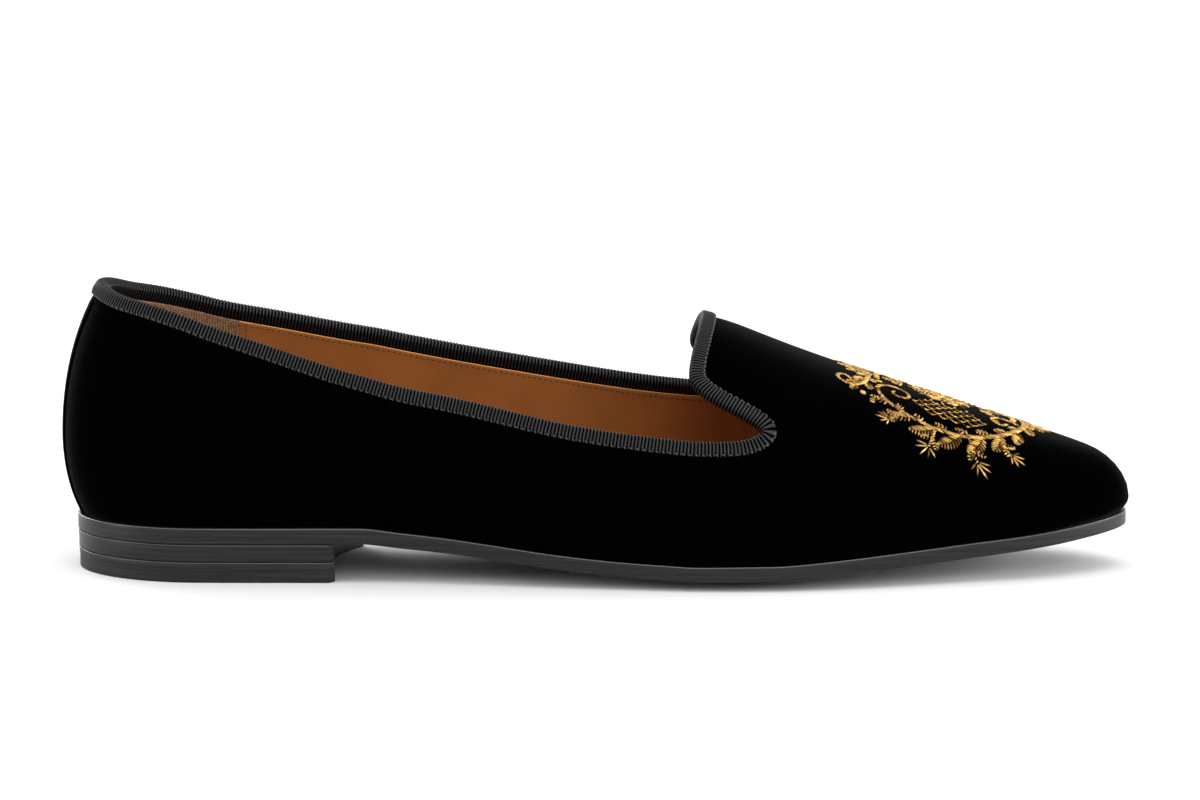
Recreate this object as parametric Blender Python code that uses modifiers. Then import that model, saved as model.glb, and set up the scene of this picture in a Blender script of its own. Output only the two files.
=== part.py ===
"""A velvet slipper loafer: one right shoe, standing empty on its sole, toe towards +X.

The lasted shape is worked out in millimetres along a line from the back of the heel (x 0) to the
tip of the toe (x 262), with the lateral side at -y. Every piece comes from that one shape.
"""

import math

import bmesh
import bpy
import numpy as np
from mathutils import Vector

MM = 0.001
OBJECT_NAME = "velvet_slipper_loafer"

# Overall sizes, in millimetres.
SHOE_LENGTH = 262.0
CENTRE_X = SHOE_LENGTH / 2
CENTRE_Y = 1.6
HEEL_ROUND = 34.0
TOE_ROUND = 37.0
TOE_DROP = 12.0
TOE_DROP_POWER = 3.0
HEEL_DOME = 53.0
WALL = 1.7
GAP = 0.3

# The heel under the sole, from the floor up.
TOP_PIECE_HEIGHT = 4.9
LIFT_BASE = 5.2
LIFT_TOP = 9.2
HEEL_TAPER = 0.35
HEEL_SETBACK = 0.05
HEEL_MIDDLE_X = 36.0
LAYER_EDGE_SOFTNESS = 0.25
BREAST_LATERAL_X = 68.8
BREAST_MEDIAL_X = 73.2
BREAST_DEPTH = 6.0

# The sole and the insole.
SOLE_MARGIN = 1.15
SOLE_MARGIN_BACK = 0.7
SOLE_EDGE_ROUND = 0.35
SPINE_START = 16.0
SPINE_END = 250.0
FLAT_SHARE = 0.5
FEATHER_RISE = 0.9
INSOLE_THICKNESS = 2.2
INSOLE_CLEARANCE = 0.45
INSOLE_LIFT = 0.42

# The ribbon that folds over the top edge.
RIBBON_THICKNESS = 0.5
RIBBON_OUTSIDE = 2.9
RIBBON_INSIDE = 2.8
RIBBON_SHOULDER_HEIGHT = 0.8
RIBBON_SHOULDER_REACH = 0.35

# How finely each piece is drawn.
EDGE_STEPS = 112
UPPER_WALL_RINGS = 3
UPPER_DOME_RINGS = 9
TOP_RING_DROP = 3.5
RIB_SAMPLES = 81
RIB_FOOT_WEIGHT = 0.7
PLATE_SHARES = (0.0, 0.5, 0.76, 1.0)
SOLE_STEPS = 80
INSOLE_STEPS = 64
HEEL_STEPS = 44
BREAST_STEPS = 10
TURN_AT_FEATHER = math.radians(45)

# The outline at its widest, seen from above: where the middle line lies, and how far each side
# is from it before the heel and the toe are rounded off.
OUTLINE_COLUMNS = ("x", "middle", "lateral", "medial")
OUTLINE = (
    (0, 0.0, 29.5, 28.5),
    (34, 0.0, 30.0, 29.0),
    (60, 0.3, 29.5, 28.0),
    (83, 0.5, 30.0, 26.5),
    (100, 0.8, 32.0, 26.0),
    (120, 1.2, 36.0, 27.5),
    (140, 1.8, 39.2, 31.5),
    (155, 2.2, 41.3, 35.5),
    (170, 2.6, 41.7, 38.5),
    (185, 3.0, 40.3, 39.3),
    (200, 3.4, 36.8, 37.5),
    (215, 3.8, 32.0, 33.5),
    (225, 4.0, 28.9, 30.2),
    (240, 4.2, 26.0, 26.4),
    (250, 4.4, 24.4, 24.4),
    (262, 4.5, 22.5, 22.5),
)

# The sole along its middle: height of its underside, its thickness, and how far its edges rise.
SOLE_COLUMNS = ("x", "underside", "thickness", "edge_rise")
SOLE = (
    (0, 9.5, 3.8, 0.0),
    (40, 9.5, 3.8, 0.0),
    (74, 9.5, 3.8, 0.1),
    (84, 8.3, 3.7, 0.4),
    (95, 7.0, 3.6, 0.7),
    (106, 5.4, 3.5, 1.1),
    (122, 3.0, 3.5, 1.6),
    (137, 1.3, 3.5, 2.0),
    (149, 0.4, 3.6, 2.2),
    (156, 0.0, 3.6, 2.3),
    (174, 0.0, 3.6, 2.5),
    (186, 0.8, 3.5, 2.5),
    (200, 2.1, 3.5, 2.3),
    (220, 4.2, 3.5, 1.8),
    (240, 6.6, 3.4, 1.2),
    (254, 8.9, 3.4, 0.5),
    (262, 10.3, 3.4, 0.0),
)

# The side wall: how high the widest line lies over the feather edge, and how far the feather
# edge lies inside it.
WALL_COLUMNS = ("x", "rise", "inset")
SIDE_WALL = (
    (0, 19.2, 4.2),
    (34, 17.4, 2.8),
    (60, 16.4, 2.1),
    (100, 14.0, 1.8),
    (150, 10.0, 1.6),
    (200, 8.0, 1.6),
    (220, 6.2, 1.6),
    (262, 2.9, 1.8),
)

# The ridge line of the last, and how square its cross-sections are (2 is an ellipse).
RIDGE_COLUMNS = ("x", "height", "power")
RIDGE = (
    (34, 85.8, 2.0),
    (60, 84.0, 2.0),
    (90, 78.9, 2.0),
    (120, 71.6, 2.02),
    (145, 64.8, 2.06),
    (157.5, 61.5, 2.1),
    (163, 60.0, 2.1),
    (170, 57.3, 2.12),
    (178, 54.1, 2.15),
    (191, 49.3, 2.2),
    (212, 42.4, 2.25),
    (236, 34.5, 2.3),
    (250, 29.9, 2.3),
    (262, 25.4, 2.3),
)

# The top edge, from the back of the heel to the middle of the tongue. Each row also says where
# the rib that ends there starts on the widest line.
TOP_EDGE_COLUMNS = ("x", "lateral", "medial", "foot")
TOP_EDGE = (
    (9.5, 69.2, 69.2, 0.0),
    (14.0, 68.3, 67.8, 6.0),
    (21.0, 66.8, 65.8, 16.0),
    (33.6, 63.2, 62.5, 33.6),
    (48.3, 58.2, 59.5, 48.0),
    (67.5, 51.8, 56.0, 67.0),
    (82.7, 47.5, 53.3, 83.0),
    (95.0, 45.1, 51.0, 95.0),
    (122.0, 39.4, 46.1, 122.5),
    (142.0, 36.5, 42.4, 145.0),
    (158.5, 35.2, 40.4, 166.0),
    (168.0, 35.7, 40.6, 181.0),
    (172.0, 38.0, 42.6, 195.0),
    (168.2, 41.5, 45.4, 210.0),
    (160.0, 45.8, 48.8, 224.0),
    (155.3, 49.6, 51.9, 237.0),
    (154.9, 52.3, 54.0, 246.0),
    (155.8, 56.5, 57.3, 256.0),
    (157.5, 61.3, 61.3, 262.0),
)


def column(table, names, name):
    """One named column of a table, as numbers."""
    place = names.index(name)
    return np.array([row[place] for row in table], float)


def steady_curve(knots, values):
    """A curve through the values that never swings past them, so flat stretches stay flat."""
    gaps = np.diff(knots)
    slopes = np.diff(values) / gaps
    tangents = np.zeros(len(knots))
    tangents[0] = slopes[0]
    tangents[-1] = slopes[-1]
    for i in range(1, len(knots) - 1):
        before = slopes[i - 1]
        after = slopes[i]
        if before * after > 0:
            near = 2 * gaps[i] + gaps[i - 1]
            far = gaps[i] + 2 * gaps[i - 1]
            tangents[i] = (near + far) / (near / before + far / after)
    return hermite(knots, values, tangents)


def even_curve(knots, values):
    """A curve through the values whose bend also changes smoothly."""
    count = len(knots)
    gaps = np.diff(knots)
    slopes = np.diff(values) / gaps
    system = np.zeros((count, count))
    wanted = np.zeros(count)
    system[0, :2] = (2, 1)
    system[-1, -2:] = (1, 2)
    wanted[0] = 3 * slopes[0]
    wanted[-1] = 3 * slopes[-1]
    for i in range(1, count - 1):
        system[i, i - 1] = gaps[i]
        system[i, i] = 2 * (gaps[i - 1] + gaps[i])
        system[i, i + 1] = gaps[i - 1]
        wanted[i] = 3 * (gaps[i] * slopes[i - 1] + gaps[i - 1] * slopes[i])
    return hermite(knots, values, np.linalg.solve(system, wanted))


def hermite(knots, values, tangents):
    """The curve with these values and slopes at its knots."""

    def at(x):
        x = np.clip(np.asarray(x, float), knots[0], knots[-1])
        i = np.clip(np.searchsorted(knots, x) - 1, 0, len(knots) - 2)
        gap = knots[i + 1] - knots[i]
        t = (x - knots[i]) / gap
        start = (1 + 2 * t) * (1 - t) ** 2 * values[i] + t * (1 - t) ** 2 * gap * tangents[i]
        end = t * t * (3 - 2 * t) * values[i + 1] - t * t * (1 - t) * gap * tangents[i + 1]
        return start + end

    return at


def curve_of(table, names, name, make):
    """The curve of one column of a table against its x column."""
    return make(column(table, names, "x"), column(table, names, name))


middle_of = curve_of(OUTLINE, OUTLINE_COLUMNS, "middle", even_curve)
lateral_of = curve_of(OUTLINE, OUTLINE_COLUMNS, "lateral", even_curve)
medial_of = curve_of(OUTLINE, OUTLINE_COLUMNS, "medial", even_curve)
underside_of = curve_of(SOLE, SOLE_COLUMNS, "underside", steady_curve)
thickness_of = curve_of(SOLE, SOLE_COLUMNS, "thickness", steady_curve)
edge_rise_of = curve_of(SOLE, SOLE_COLUMNS, "edge_rise", steady_curve)
wall_rise_of = curve_of(SIDE_WALL, WALL_COLUMNS, "rise", steady_curve)
wall_inset_of = curve_of(SIDE_WALL, WALL_COLUMNS, "inset", steady_curve)
ridge_line_of = curve_of(RIDGE, RIDGE_COLUMNS, "height", even_curve)
power_of = curve_of(RIDGE, RIDGE_COLUMNS, "power", steady_curve)


def end_rounding(x):
    """How far the outline is drawn in at the heel and at the toe: 1 between, 0 at both ends."""
    heel = np.clip(1 - x / HEEL_ROUND, 0, 1)
    toe = np.clip((x - (SHOE_LENGTH - TOE_ROUND)) / TOE_ROUND, 0, 1)
    return np.sqrt(np.clip((1 - heel**2) * (1 - toe**2), 0, 1))


def feather_height(x):
    """Height of the feather edge, where the upper meets the sole."""
    return underside_of(x) + thickness_of(x) + FEATHER_RISE * edge_rise_of(x) + GAP


def widest_height(x):
    """Height of the widest line round the upper."""
    return feather_height(x) + wall_rise_of(x)


def ridge_height(x):
    """Height of the top of the last at x. Behind the tongue nothing is built this high."""
    heel = np.clip(1 - x / HEEL_ROUND, 0, 1)
    toe = np.clip((x - (SHOE_LENGTH - TOE_DROP)) / TOE_DROP, 0, 1)
    low = widest_height(x)
    dome = widest_height(0.0) + HEEL_DOME * np.sqrt(1 - heel**2)
    front = low + (ridge_line_of(x) - low) * np.sqrt(1 - toe**TOE_DROP_POWER)
    return np.where(x < HEEL_ROUND, dome, front)


def half_width(x, on_lateral):
    """Half width of the outline on one side of its middle line."""
    return np.where(on_lateral, lateral_of(x), medial_of(x)) * end_rounding(x)


def last_point(x, around):
    """The point of the lasted surface at x, turned by around from the lateral side over the top."""
    power = power_of(x)
    across = np.cos(around)
    up = np.sin(around)
    reach = (np.abs(across) ** power + np.abs(up) ** power) ** (-1 / power)
    y = middle_of(x) - half_width(x, across > 0) * reach * across
    low = widest_height(x)
    z = low + (ridge_height(x) - low) * reach * up
    return np.stack([x, y, z], axis=-1)


def last_height(x, y):
    """Height of the lasted surface over a place in plan."""
    power = power_of(x)
    off = y - middle_of(x)
    width = np.maximum(half_width(x, off < 0), 1e-6)
    share = np.clip(np.abs(off) / width, 0, 1)
    low = widest_height(x)
    return low + (ridge_height(x) - low) * (1 - share**power) ** (1 / power)


def outline_point(turn):
    """A point of the widest outline in plan: turn 0 is the heel, pi the toe, lateral side first."""
    turn = np.mod(turn, 2 * math.pi)
    x = SHOE_LENGTH * (1 - np.cos(turn)) / 2
    on_lateral = turn < math.pi
    side = np.where(on_lateral, -1.0, 1.0)
    y = middle_of(x) + side * half_width(x, on_lateral)
    return np.stack([x, y], axis=-1)


def outline_inward(turn):
    """The direction in plan that points into the outline."""
    step = 0.004
    along = outline_point(turn + step) - outline_point(turn - step)
    along /= np.linalg.norm(along, axis=-1, keepdims=True)
    return np.stack([-along[..., 1], along[..., 0]], axis=-1)


def sole_outline(turn, inside=0.0):
    """A point of the sole's edge in plan, or of a line that far inside it."""
    edge = outline_point(turn)
    x = edge[..., 0]
    back = np.clip(1 - x / HEEL_ROUND, 0, 1)
    margin = SOLE_MARGIN + (SOLE_MARGIN_BACK - SOLE_MARGIN) * back
    move = wall_inset_of(x) - margin + inside
    return edge + outline_inward(turn) * move[..., None]


def turns(count):
    """That many equal steps round the outline."""
    return np.arange(count) * 2 * math.pi / count


def turn_of_foot(foot, on_lateral):
    """Where round the outline a place at x lies."""
    turn = math.acos(1 - 2 * foot / SHOE_LENGTH)
    return turn if on_lateral else 2 * math.pi - turn


def around_of_height(x, z, on_lateral):
    """How far round the section at x the surface reaches the height z."""
    low = float(widest_height(x))
    up = min((z - low) / (float(ridge_height(x)) - low), 1.0)
    power = float(power_of(x))
    across = (1 - up**power) ** (1 / power)
    around = math.atan2(up, across)
    return around if on_lateral else math.pi - around


def top_edge_curves():
    """The closed top edge as curves of x, around and rib foot against the way along it."""
    knots = []
    rows = [(row, True) for row in TOP_EDGE] + [(row, False) for row in TOP_EDGE[-2:0:-1]]
    for row, on_lateral in rows:
        x, lateral, medial, foot = row
        around = around_of_height(x, lateral if on_lateral else medial, on_lateral)
        if row in (TOP_EDGE[0], TOP_EDGE[-1]):
            around = math.pi / 2
        knots.append((x, around, turn_of_foot(foot, on_lateral)))
    knots = np.array(knots)
    edge = last_point(knots[:, 0], knots[:, 1])
    feet = outline_point(knots[:, 2])
    steps = np.linalg.norm(np.roll(edge, -1, axis=0) - edge, axis=1)
    foot_steps = np.linalg.norm(np.roll(feet, -1, axis=0) - feet, axis=1)
    lengths = np.hypot(steps, RIB_FOOT_WEIGHT * foot_steps)
    way = np.concatenate([[0], np.cumsum(lengths)])
    total = way[-1]
    lap = np.array([0, 0, 2 * math.pi])
    wrapped = np.concatenate([knots[-4:] - lap, knots, knots[:5] + lap])
    ways = np.concatenate([way[-5:-1] - total, way[:-1], way[:5] + total])
    x_of = even_curve(ways, wrapped[:, 0])
    around_of = even_curve(ways, wrapped[:, 1])
    foot_of = steady_curve(ways, wrapped[:, 2])
    return total, x_of, around_of, foot_of


EDGE_TOTAL, EDGE_X, EDGE_AROUND, EDGE_FOOT = top_edge_curves()


def upper_rings():
    """Rings of points up the outside of the upper, from the feather edge to the top edge."""
    ways = np.arange(EDGE_STEPS) * EDGE_TOTAL / EDGE_STEPS
    turn = EDGE_FOOT(ways)
    feet = outline_point(turn)
    inward = outline_inward(turn)
    inset = wall_inset_of(feet[:, 0])
    feather = feet + inward * inset[:, None]
    low = widest_height(feet[:, 0])
    drop = low - feather_height(feather[:, 0])
    rings = []
    for ring in range(UPPER_WALL_RINGS):
        angle = TURN_AT_FEATHER * (1 - ring / UPPER_WALL_RINGS)
        share = (1 - math.cos(angle)) / (1 - math.cos(TURN_AT_FEATHER))
        plan = feet + inward * (inset * share)[:, None]
        z = low - drop * math.sin(angle) / math.sin(TURN_AT_FEATHER)
        rings.append(np.column_stack([plan, z]))
    rings.append(np.column_stack([feet, low]))
    ribs = [rib_points(way, foot) for way, foot in zip(ways, feet)]
    for ring in range(UPPER_DOME_RINGS):
        rings.append(np.array([rib[ring] for rib in ribs]))
    return rings


def rib_points(way, foot):
    """Points up one rib from the widest line to the top edge, the last stretch ribbon high."""
    top = last_point(EDGE_X(way), EDGE_AROUND(way))
    lean = EDGE_AROUND(way)
    lean = min(lean, math.pi - lean)
    share = np.linspace(0, 1, RIB_SAMPLES)[1:]
    move = (1 - np.cos(share * lean)) / (1 - math.cos(lean))
    plan = foot + (top[:2] - foot) * move[:, None]
    fine = np.column_stack([plan, last_height(plan[:, 0], plan[:, 1])])
    left = np.linalg.norm(np.diff(fine, axis=0), axis=1)[::-1].cumsum()[::-1]
    left = np.append(left, 0)
    ribbon = np.interp(-TOP_RING_DROP, -left, share)
    wanted = np.append(ribbon * np.arange(1, UPPER_DOME_RINGS) / (UPPER_DOME_RINGS - 1), 1)
    return np.column_stack([np.interp(wanted, share, fine[:, i]) for i in range(3)])


def surface_frame(x, around):
    """The two slopes of the lasted surface there and its outward direction."""
    step_x = 0.05
    step_around = 0.002
    along = (last_point(x + step_x, around) - last_point(x - step_x, around)) / (2 * step_x)
    over = last_point(x, around + step_around) - last_point(x, around - step_around)
    over = over / (2 * step_around)
    outward = np.cross(along, over)
    return along, over, outward / np.linalg.norm(outward)


def edge_walk(way, distances):
    """Places on the surface at these distances from the top edge, square to it, with directions."""
    step = 0.2
    x = float(EDGE_X(way))
    around = float(EDGE_AROUND(way))
    ahead = last_point(EDGE_X(way + step), EDGE_AROUND(way + step))
    behind = last_point(EDGE_X(way - step), EDGE_AROUND(way - step))
    tangent = (ahead - behind) / np.linalg.norm(ahead - behind)
    down = None
    gone = 0.0
    found = []
    for distance in distances:
        for _ in range(3):
            along, over, outward = surface_frame(x, around)
            if down is None:
                down = np.cross(tangent, outward)
            down = down - outward * (down @ outward)
            down /= np.linalg.norm(down)
            stride = (distance - gone) / 3
            system = np.column_stack([along, over])
            move = np.linalg.lstsq(system, down * stride, rcond=None)[0]
            x += move[0]
            around += move[1]
        gone = distance
        along, over, outward = surface_frame(x, around)
        found.append((last_point(x, around), outward, down))
    return found


def ribbon_section(way):
    """The folded ribbon's section there: down the outside, back up inside it, over and round."""
    edge, inner_foot, outer_foot = edge_walk(way, (0.0, RIBBON_INSIDE, RIBBON_OUTSIDE))
    outer = GAP + RIBBON_THICKNESS
    inner = WALL + GAP
    far = inner + RIBBON_THICKNESS
    shoulder_reach = outer * RIBBON_SHOULDER_REACH
    shoulder_height = outer * RIBBON_SHOULDER_HEIGHT
    point, outward, down = edge
    up = -down
    return [
        outer_foot[0] + outer_foot[1] * GAP,
        outer_foot[0] + outer_foot[1] * outer,
        point + outward * outer,
        point + outward * shoulder_reach + up * shoulder_height,
        point - outward * (WALL / 2) + up * outer,
        point - outward * (far - outer + shoulder_reach) + up * shoulder_height,
        point - outward * far,
        inner_foot[0] - inner_foot[1] * far,
        inner_foot[0] - inner_foot[1] * inner,
        point - outward * inner + up * GAP,
        point + outward * GAP + up * GAP,
    ]


def plate_ring(edge_of, share, count, thickness_share, lift):
    """A ring of a plate on the sole's curve: share 1 is its edge, 0 its middle line."""
    turn = turns(count)
    edge = edge_of(turn)
    spine_x = SPINE_START + (SPINE_END - SPINE_START) * (1 - np.cos(turn)) / 2
    spine = np.column_stack([spine_x, middle_of(spine_x)])
    plan = spine + (edge - spine) * share
    rise = max(0.0, (share - FLAT_SHARE) / (1 - FLAT_SHARE)) ** 2
    x = plan[:, 0]
    z = underside_of(x) + edge_rise_of(x) * rise + thickness_share * thickness_of(x) + lift
    return np.column_stack([plan, z])


def in_place(point):
    """A point of the last, in metres about the middle of the shoe."""
    return Vector(((point[0] - CENTRE_X) * MM, (point[1] - CENTRE_Y) * MM, point[2] * MM))


def start_ring(form, places):
    """A closed ring of edges through these places."""
    made = bmesh.ops.create_circle(form, segments=len(places), radius=1.0)
    for vertex, place in zip(made["verts"], places):
        vertex.co = in_place(place)
    return made["verts"]


def grow_ring(form, ring, places):
    """Extrudes a closed ring of edges, and sets the new ring on these places."""
    edges = [form.edges.get((ring[i - 1], ring[i])) for i in range(len(ring))]
    made = bmesh.ops.extrude_edge_only(form, edges=edges)
    fresh = {item for item in made["geom"] if isinstance(item, bmesh.types.BMVert)}
    grown = []
    for vertex, place in zip(ring, places):
        others = [edge.other_vert(vertex) for edge in vertex.link_edges]
        new = next(other for other in others if other in fresh)
        new.co = in_place(place)
        grown.append(new)
    return grown


def material(name, colour, roughness, sheen=0.0):
    """A plain material for one piece."""
    made = bpy.data.materials.new(name)
    made.use_nodes = True
    shader = made.node_tree.nodes["Principled BSDF"]
    shader.inputs["Base Color"].default_value = (*colour, 1.0)
    shader.inputs["Roughness"].default_value = roughness
    shader.inputs["Sheen Weight"].default_value = sheen
    made.diffuse_color = (*colour, 1.0)
    return made


def finish_piece(form, name, look, sharp_angle):
    """Turns the drawn form into a named object with its material."""
    bmesh.ops.remove_doubles(form, verts=form.verts, dist=1e-6)
    bmesh.ops.recalc_face_normals(form, faces=form.faces)
    mesh = bpy.data.meshes.new(name)
    form.to_mesh(mesh)
    form.free()
    mesh.materials.append(look)
    mesh.shade_smooth()
    mesh.set_sharp_from_angle(angle=math.radians(sharp_angle))
    piece = bpy.data.objects.new(name, mesh)
    bpy.data.collections[OBJECT_NAME].objects.link(piece)
    return piece


def piece_from_rings(name, rings, look, sharp_angle):
    """One piece drawn ring by ring."""
    form = bmesh.new()
    ring = start_ring(form, rings[0])
    for places in rings[1:]:
        ring = grow_ring(form, ring, places)
    return finish_piece(form, name, look, sharp_angle)


def build_upper():
    """The velvet upper: one shell with its wall turned inwards, open above and underneath."""
    velvet = material("black_velvet", (0.006, 0.006, 0.007), 0.9, sheen=0.4)
    piece = piece_from_rings("upper", upper_rings(), velvet, 180)
    wall = piece.modifiers.new("wall", "SOLIDIFY")
    wall.thickness = WALL * MM
    wall.offset = -1.0
    wall.use_even_offset = True
    return piece


def build_binding():
    """The grosgrain ribbon folded over the whole top edge."""
    ribbon = material("grosgrain_ribbon", (0.02, 0.02, 0.022), 0.6)
    ways = np.arange(EDGE_STEPS) * EDGE_TOTAL / EDGE_STEPS
    sections = np.array([ribbon_section(way) for way in ways])
    rings = [sections[:, i] for i in range(sections.shape[1])]
    rings.append(rings[0])
    return piece_from_rings("collar_binding", rings, ribbon, 60)


def build_plate(name, edge_of, look, steps, base_share, lift, thickness):
    """A plate that follows the sole: a closed piece with slightly rounded edges."""
    if thickness is None:
        top_share = 1.0
        top_lift = lift
    else:
        top_share = base_share
        top_lift = lift + thickness
    small = SOLE_EDGE_ROUND

    def drawn_in(turn):
        return edge_of(turn, small)

    below = [plate_ring(drawn_in, share, steps, base_share, lift) for share in PLATE_SHARES]
    edge = [
        plate_ring(edge_of, 1.0, steps, base_share, lift + small),
        plate_ring(edge_of, 1.0, steps, top_share, top_lift - small),
    ]
    above = [plate_ring(drawn_in, share, steps, top_share, top_lift) for share in PLATE_SHARES]
    return piece_from_rings(name, below + edge + above[::-1], look, 35)


def insole_edge(turn, inside=0.0):
    """The insole's edge in plan, clear of the inside of the upper."""
    edge = outline_point(turn)
    move = wall_inset_of(edge[..., 0]) + WALL + INSOLE_CLEARANCE + inside
    return edge + outline_inward(turn) * move[..., None]


def heel_ring(z):
    """The heel's outline at a height: round the back of the sole, then a hollow breast."""
    inside = HEEL_TAPER * (1 - z / LIFT_TOP) + HEEL_SETBACK
    lateral_turn = turn_of_foot(BREAST_LATERAL_X, True)
    medial_turn = turn_of_foot(BREAST_MEDIAL_X, False) - 2 * math.pi
    back = sole_outline(np.linspace(medial_turn, lateral_turn, HEEL_STEPS), inside)
    start = back[-1]
    end = back[0]
    share = np.linspace(0, 1, BREAST_STEPS + 1)[1:-1]
    breast = start + (end - start) * share[:, None]
    hollow = 4 * BREAST_DEPTH * share * (1 - share)
    breast[:, 0] -= hollow
    plan = np.concatenate([back, breast])
    return np.column_stack([plan, np.full(len(plan), z)])


def build_heel_layer(name, base, top, look):
    """One layer of the heel, flat above and below, with softened lower and upper edges."""
    form = bmesh.new()
    soft = LAYER_EDGE_SOFTNESS
    middle = np.array([HEEL_MIDDLE_X, 0.0, 0.0])

    def drawn_in(z, at):
        ring = heel_ring(z)
        away = ring - middle
        away[:, 2] = 0
        away /= np.linalg.norm(away, axis=1, keepdims=True)
        ring = ring - away * soft
        ring[:, 2] = at
        return ring

    levels = (
        drawn_in(base, base),
        heel_ring(base + soft),
        heel_ring(top - soft),
        drawn_in(top, top),
    )
    first = start_ring(form, levels[0])
    ring = first
    for places in levels[1:]:
        ring = grow_ring(form, ring, places)
    bmesh.ops.contextual_create(form, geom=first)
    bmesh.ops.contextual_create(form, geom=ring)
    return finish_piece(form, name, look, 35)


def clear_scene():
    """Removes everything the scene starts with, and makes a collection for the shoe."""
    for item in list(bpy.data.objects):
        bpy.data.objects.remove(item, do_unlink=True)
    parts = bpy.data.collections.new(OBJECT_NAME)
    bpy.context.scene.collection.children.link(parts)


def main():
    clear_scene()
    build_upper()
    build_binding()
    sole_look = material("outsole_leather", (0.045, 0.044, 0.043), 0.45)
    build_plate("outsole", sole_outline, sole_look, SOLE_STEPS, 0.0, 0.0, None)
    insole_look = material("insole_leather", (0.33, 0.16, 0.07), 0.6)
    build_plate("insole", insole_edge, insole_look, INSOLE_STEPS, 1.0, INSOLE_LIFT, INSOLE_THICKNESS)
    lift_look = material("heel_lift_leather", (0.045, 0.044, 0.043), 0.45)
    build_heel_layer("heel_lift", LIFT_BASE, LIFT_TOP, lift_look)
    rubber = material("heel_rubber", (0.04, 0.039, 0.038), 0.55)
    build_heel_layer("heel_top_piece", 0.0, TOP_PIECE_HEIGHT, rubber)


main()
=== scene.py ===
"""A black velvet slipper loafer with a grosgrain collar and a gold flower medallion on its vamp.

The lasted shape is worked out in millimetres along a line from the back of the heel (x 0) to the
tip of the toe (x 262), with the lateral side at -y, as the solids are. Every piece follows it.
"""

import math

import bmesh
import bpy
import numpy as np
from mathutils import Matrix, Vector


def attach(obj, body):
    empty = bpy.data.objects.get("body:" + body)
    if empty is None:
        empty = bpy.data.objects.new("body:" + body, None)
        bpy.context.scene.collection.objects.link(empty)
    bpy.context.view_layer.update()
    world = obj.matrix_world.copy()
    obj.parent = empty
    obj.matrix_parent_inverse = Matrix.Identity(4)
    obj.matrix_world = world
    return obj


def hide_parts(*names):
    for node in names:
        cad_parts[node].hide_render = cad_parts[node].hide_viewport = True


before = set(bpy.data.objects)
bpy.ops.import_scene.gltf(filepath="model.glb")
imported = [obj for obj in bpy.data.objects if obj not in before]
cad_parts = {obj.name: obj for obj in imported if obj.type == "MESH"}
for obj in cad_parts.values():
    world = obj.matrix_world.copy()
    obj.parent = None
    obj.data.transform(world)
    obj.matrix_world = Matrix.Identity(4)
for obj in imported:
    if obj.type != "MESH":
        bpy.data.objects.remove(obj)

bl_info = {
    "name": "Velvet Slipper Loafer",
    "version": (1, 0, 0),
    "blender": (4, 5, 0),
    "location": "View3D > Sidebar > Slipper",
    "description": "Builds the velvet, ribbon, leather, sole and embroidery of a slipper loafer",
    "category": "Object",
}

MM = 0.001
SEED = 11

# The last, as the solids have it.
SHOE_LENGTH = 262.0
CENTRE_X = SHOE_LENGTH / 2
CENTRE_Y = 1.6
HEEL_ROUND = 34.0
TOE_ROUND = 37.0
TOE_DROP = 12.0
TOE_DROP_POWER = 3.0
HEEL_DOME = 53.0
WALL = 1.7
GAP = 0.3
TOP_PIECE_HEIGHT = 4.9
LIFT_BASE = 5.2
LIFT_TOP = 9.2
HEEL_TAPER = 0.35
BREAST_LATERAL_X = 68.8
BREAST_MEDIAL_X = 73.2
BREAST_DEPTH = 6.0
SOLE_MARGIN = 1.15
SOLE_MARGIN_BACK = 0.7
SPINE_START = 16.0
SPINE_END = 250.0
FLAT_SHARE = 0.5
FEATHER_RISE = 0.9
INSOLE_THICKNESS = 2.2
INSOLE_CLEARANCE = 0.45
INSOLE_LIFT = 0.42
RIBBON_THICKNESS = 0.5
TURN_AT_FEATHER = math.radians(45)
ORIGIN = np.array([CENTRE_X, CENTRE_Y, 0.0])

# How finely the pieces are drawn, how the heel and the sock are finished, and other sizes
# that the scene alone uses, in millimetres.
RIB_FOOT_WEIGHT = 0.7
LAST_STEPS = 160
STRIDES = 3
EDGE_SAMPLES = 4001
BEAD_BATCH = 50
HEEL_STEPS = 120
HEEL_SETBACK = 0.05
HEEL_MIDDLE_X = 36.0
HEEL_EDGE_RADIUS = 0.18
HEEL_NECK = 0.55
BREAST_STEPS = 32
BREAST_CORNER = 0.8
PRINT_PITCH = 0.68
SOLE_ROUND = 320
SOCK_ROUND = 200
SOCK_EDGE_RADIUS = 0.5

# The outline in plan: its middle line and its half widths, from the heel to the toe.
OUTLINE = {
    "x": (0, 34, 60, 83, 100, 120, 140, 155, 170, 185, 200, 215, 225, 240, 250, 262),
    "middle": (0.0, 0.0, 0.3, 0.5, 0.8, 1.2, 1.8, 2.2, 2.6, 3.0, 3.4, 3.8, 4.0, 4.2, 4.4, 4.5),
    "lateral": (29.5, 30.0, 29.5, 30.0, 32.0, 36.0, 39.2, 41.3, 41.7, 40.3, 36.8, 32.0, 28.9,
        26.0, 24.4, 22.5),
    "medial": (28.5, 29.0, 28.0, 26.5, 26.0, 27.5, 31.5, 35.5, 38.5, 39.3, 37.5, 33.5, 30.2, 26.4,
        24.4, 22.5),
}

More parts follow.
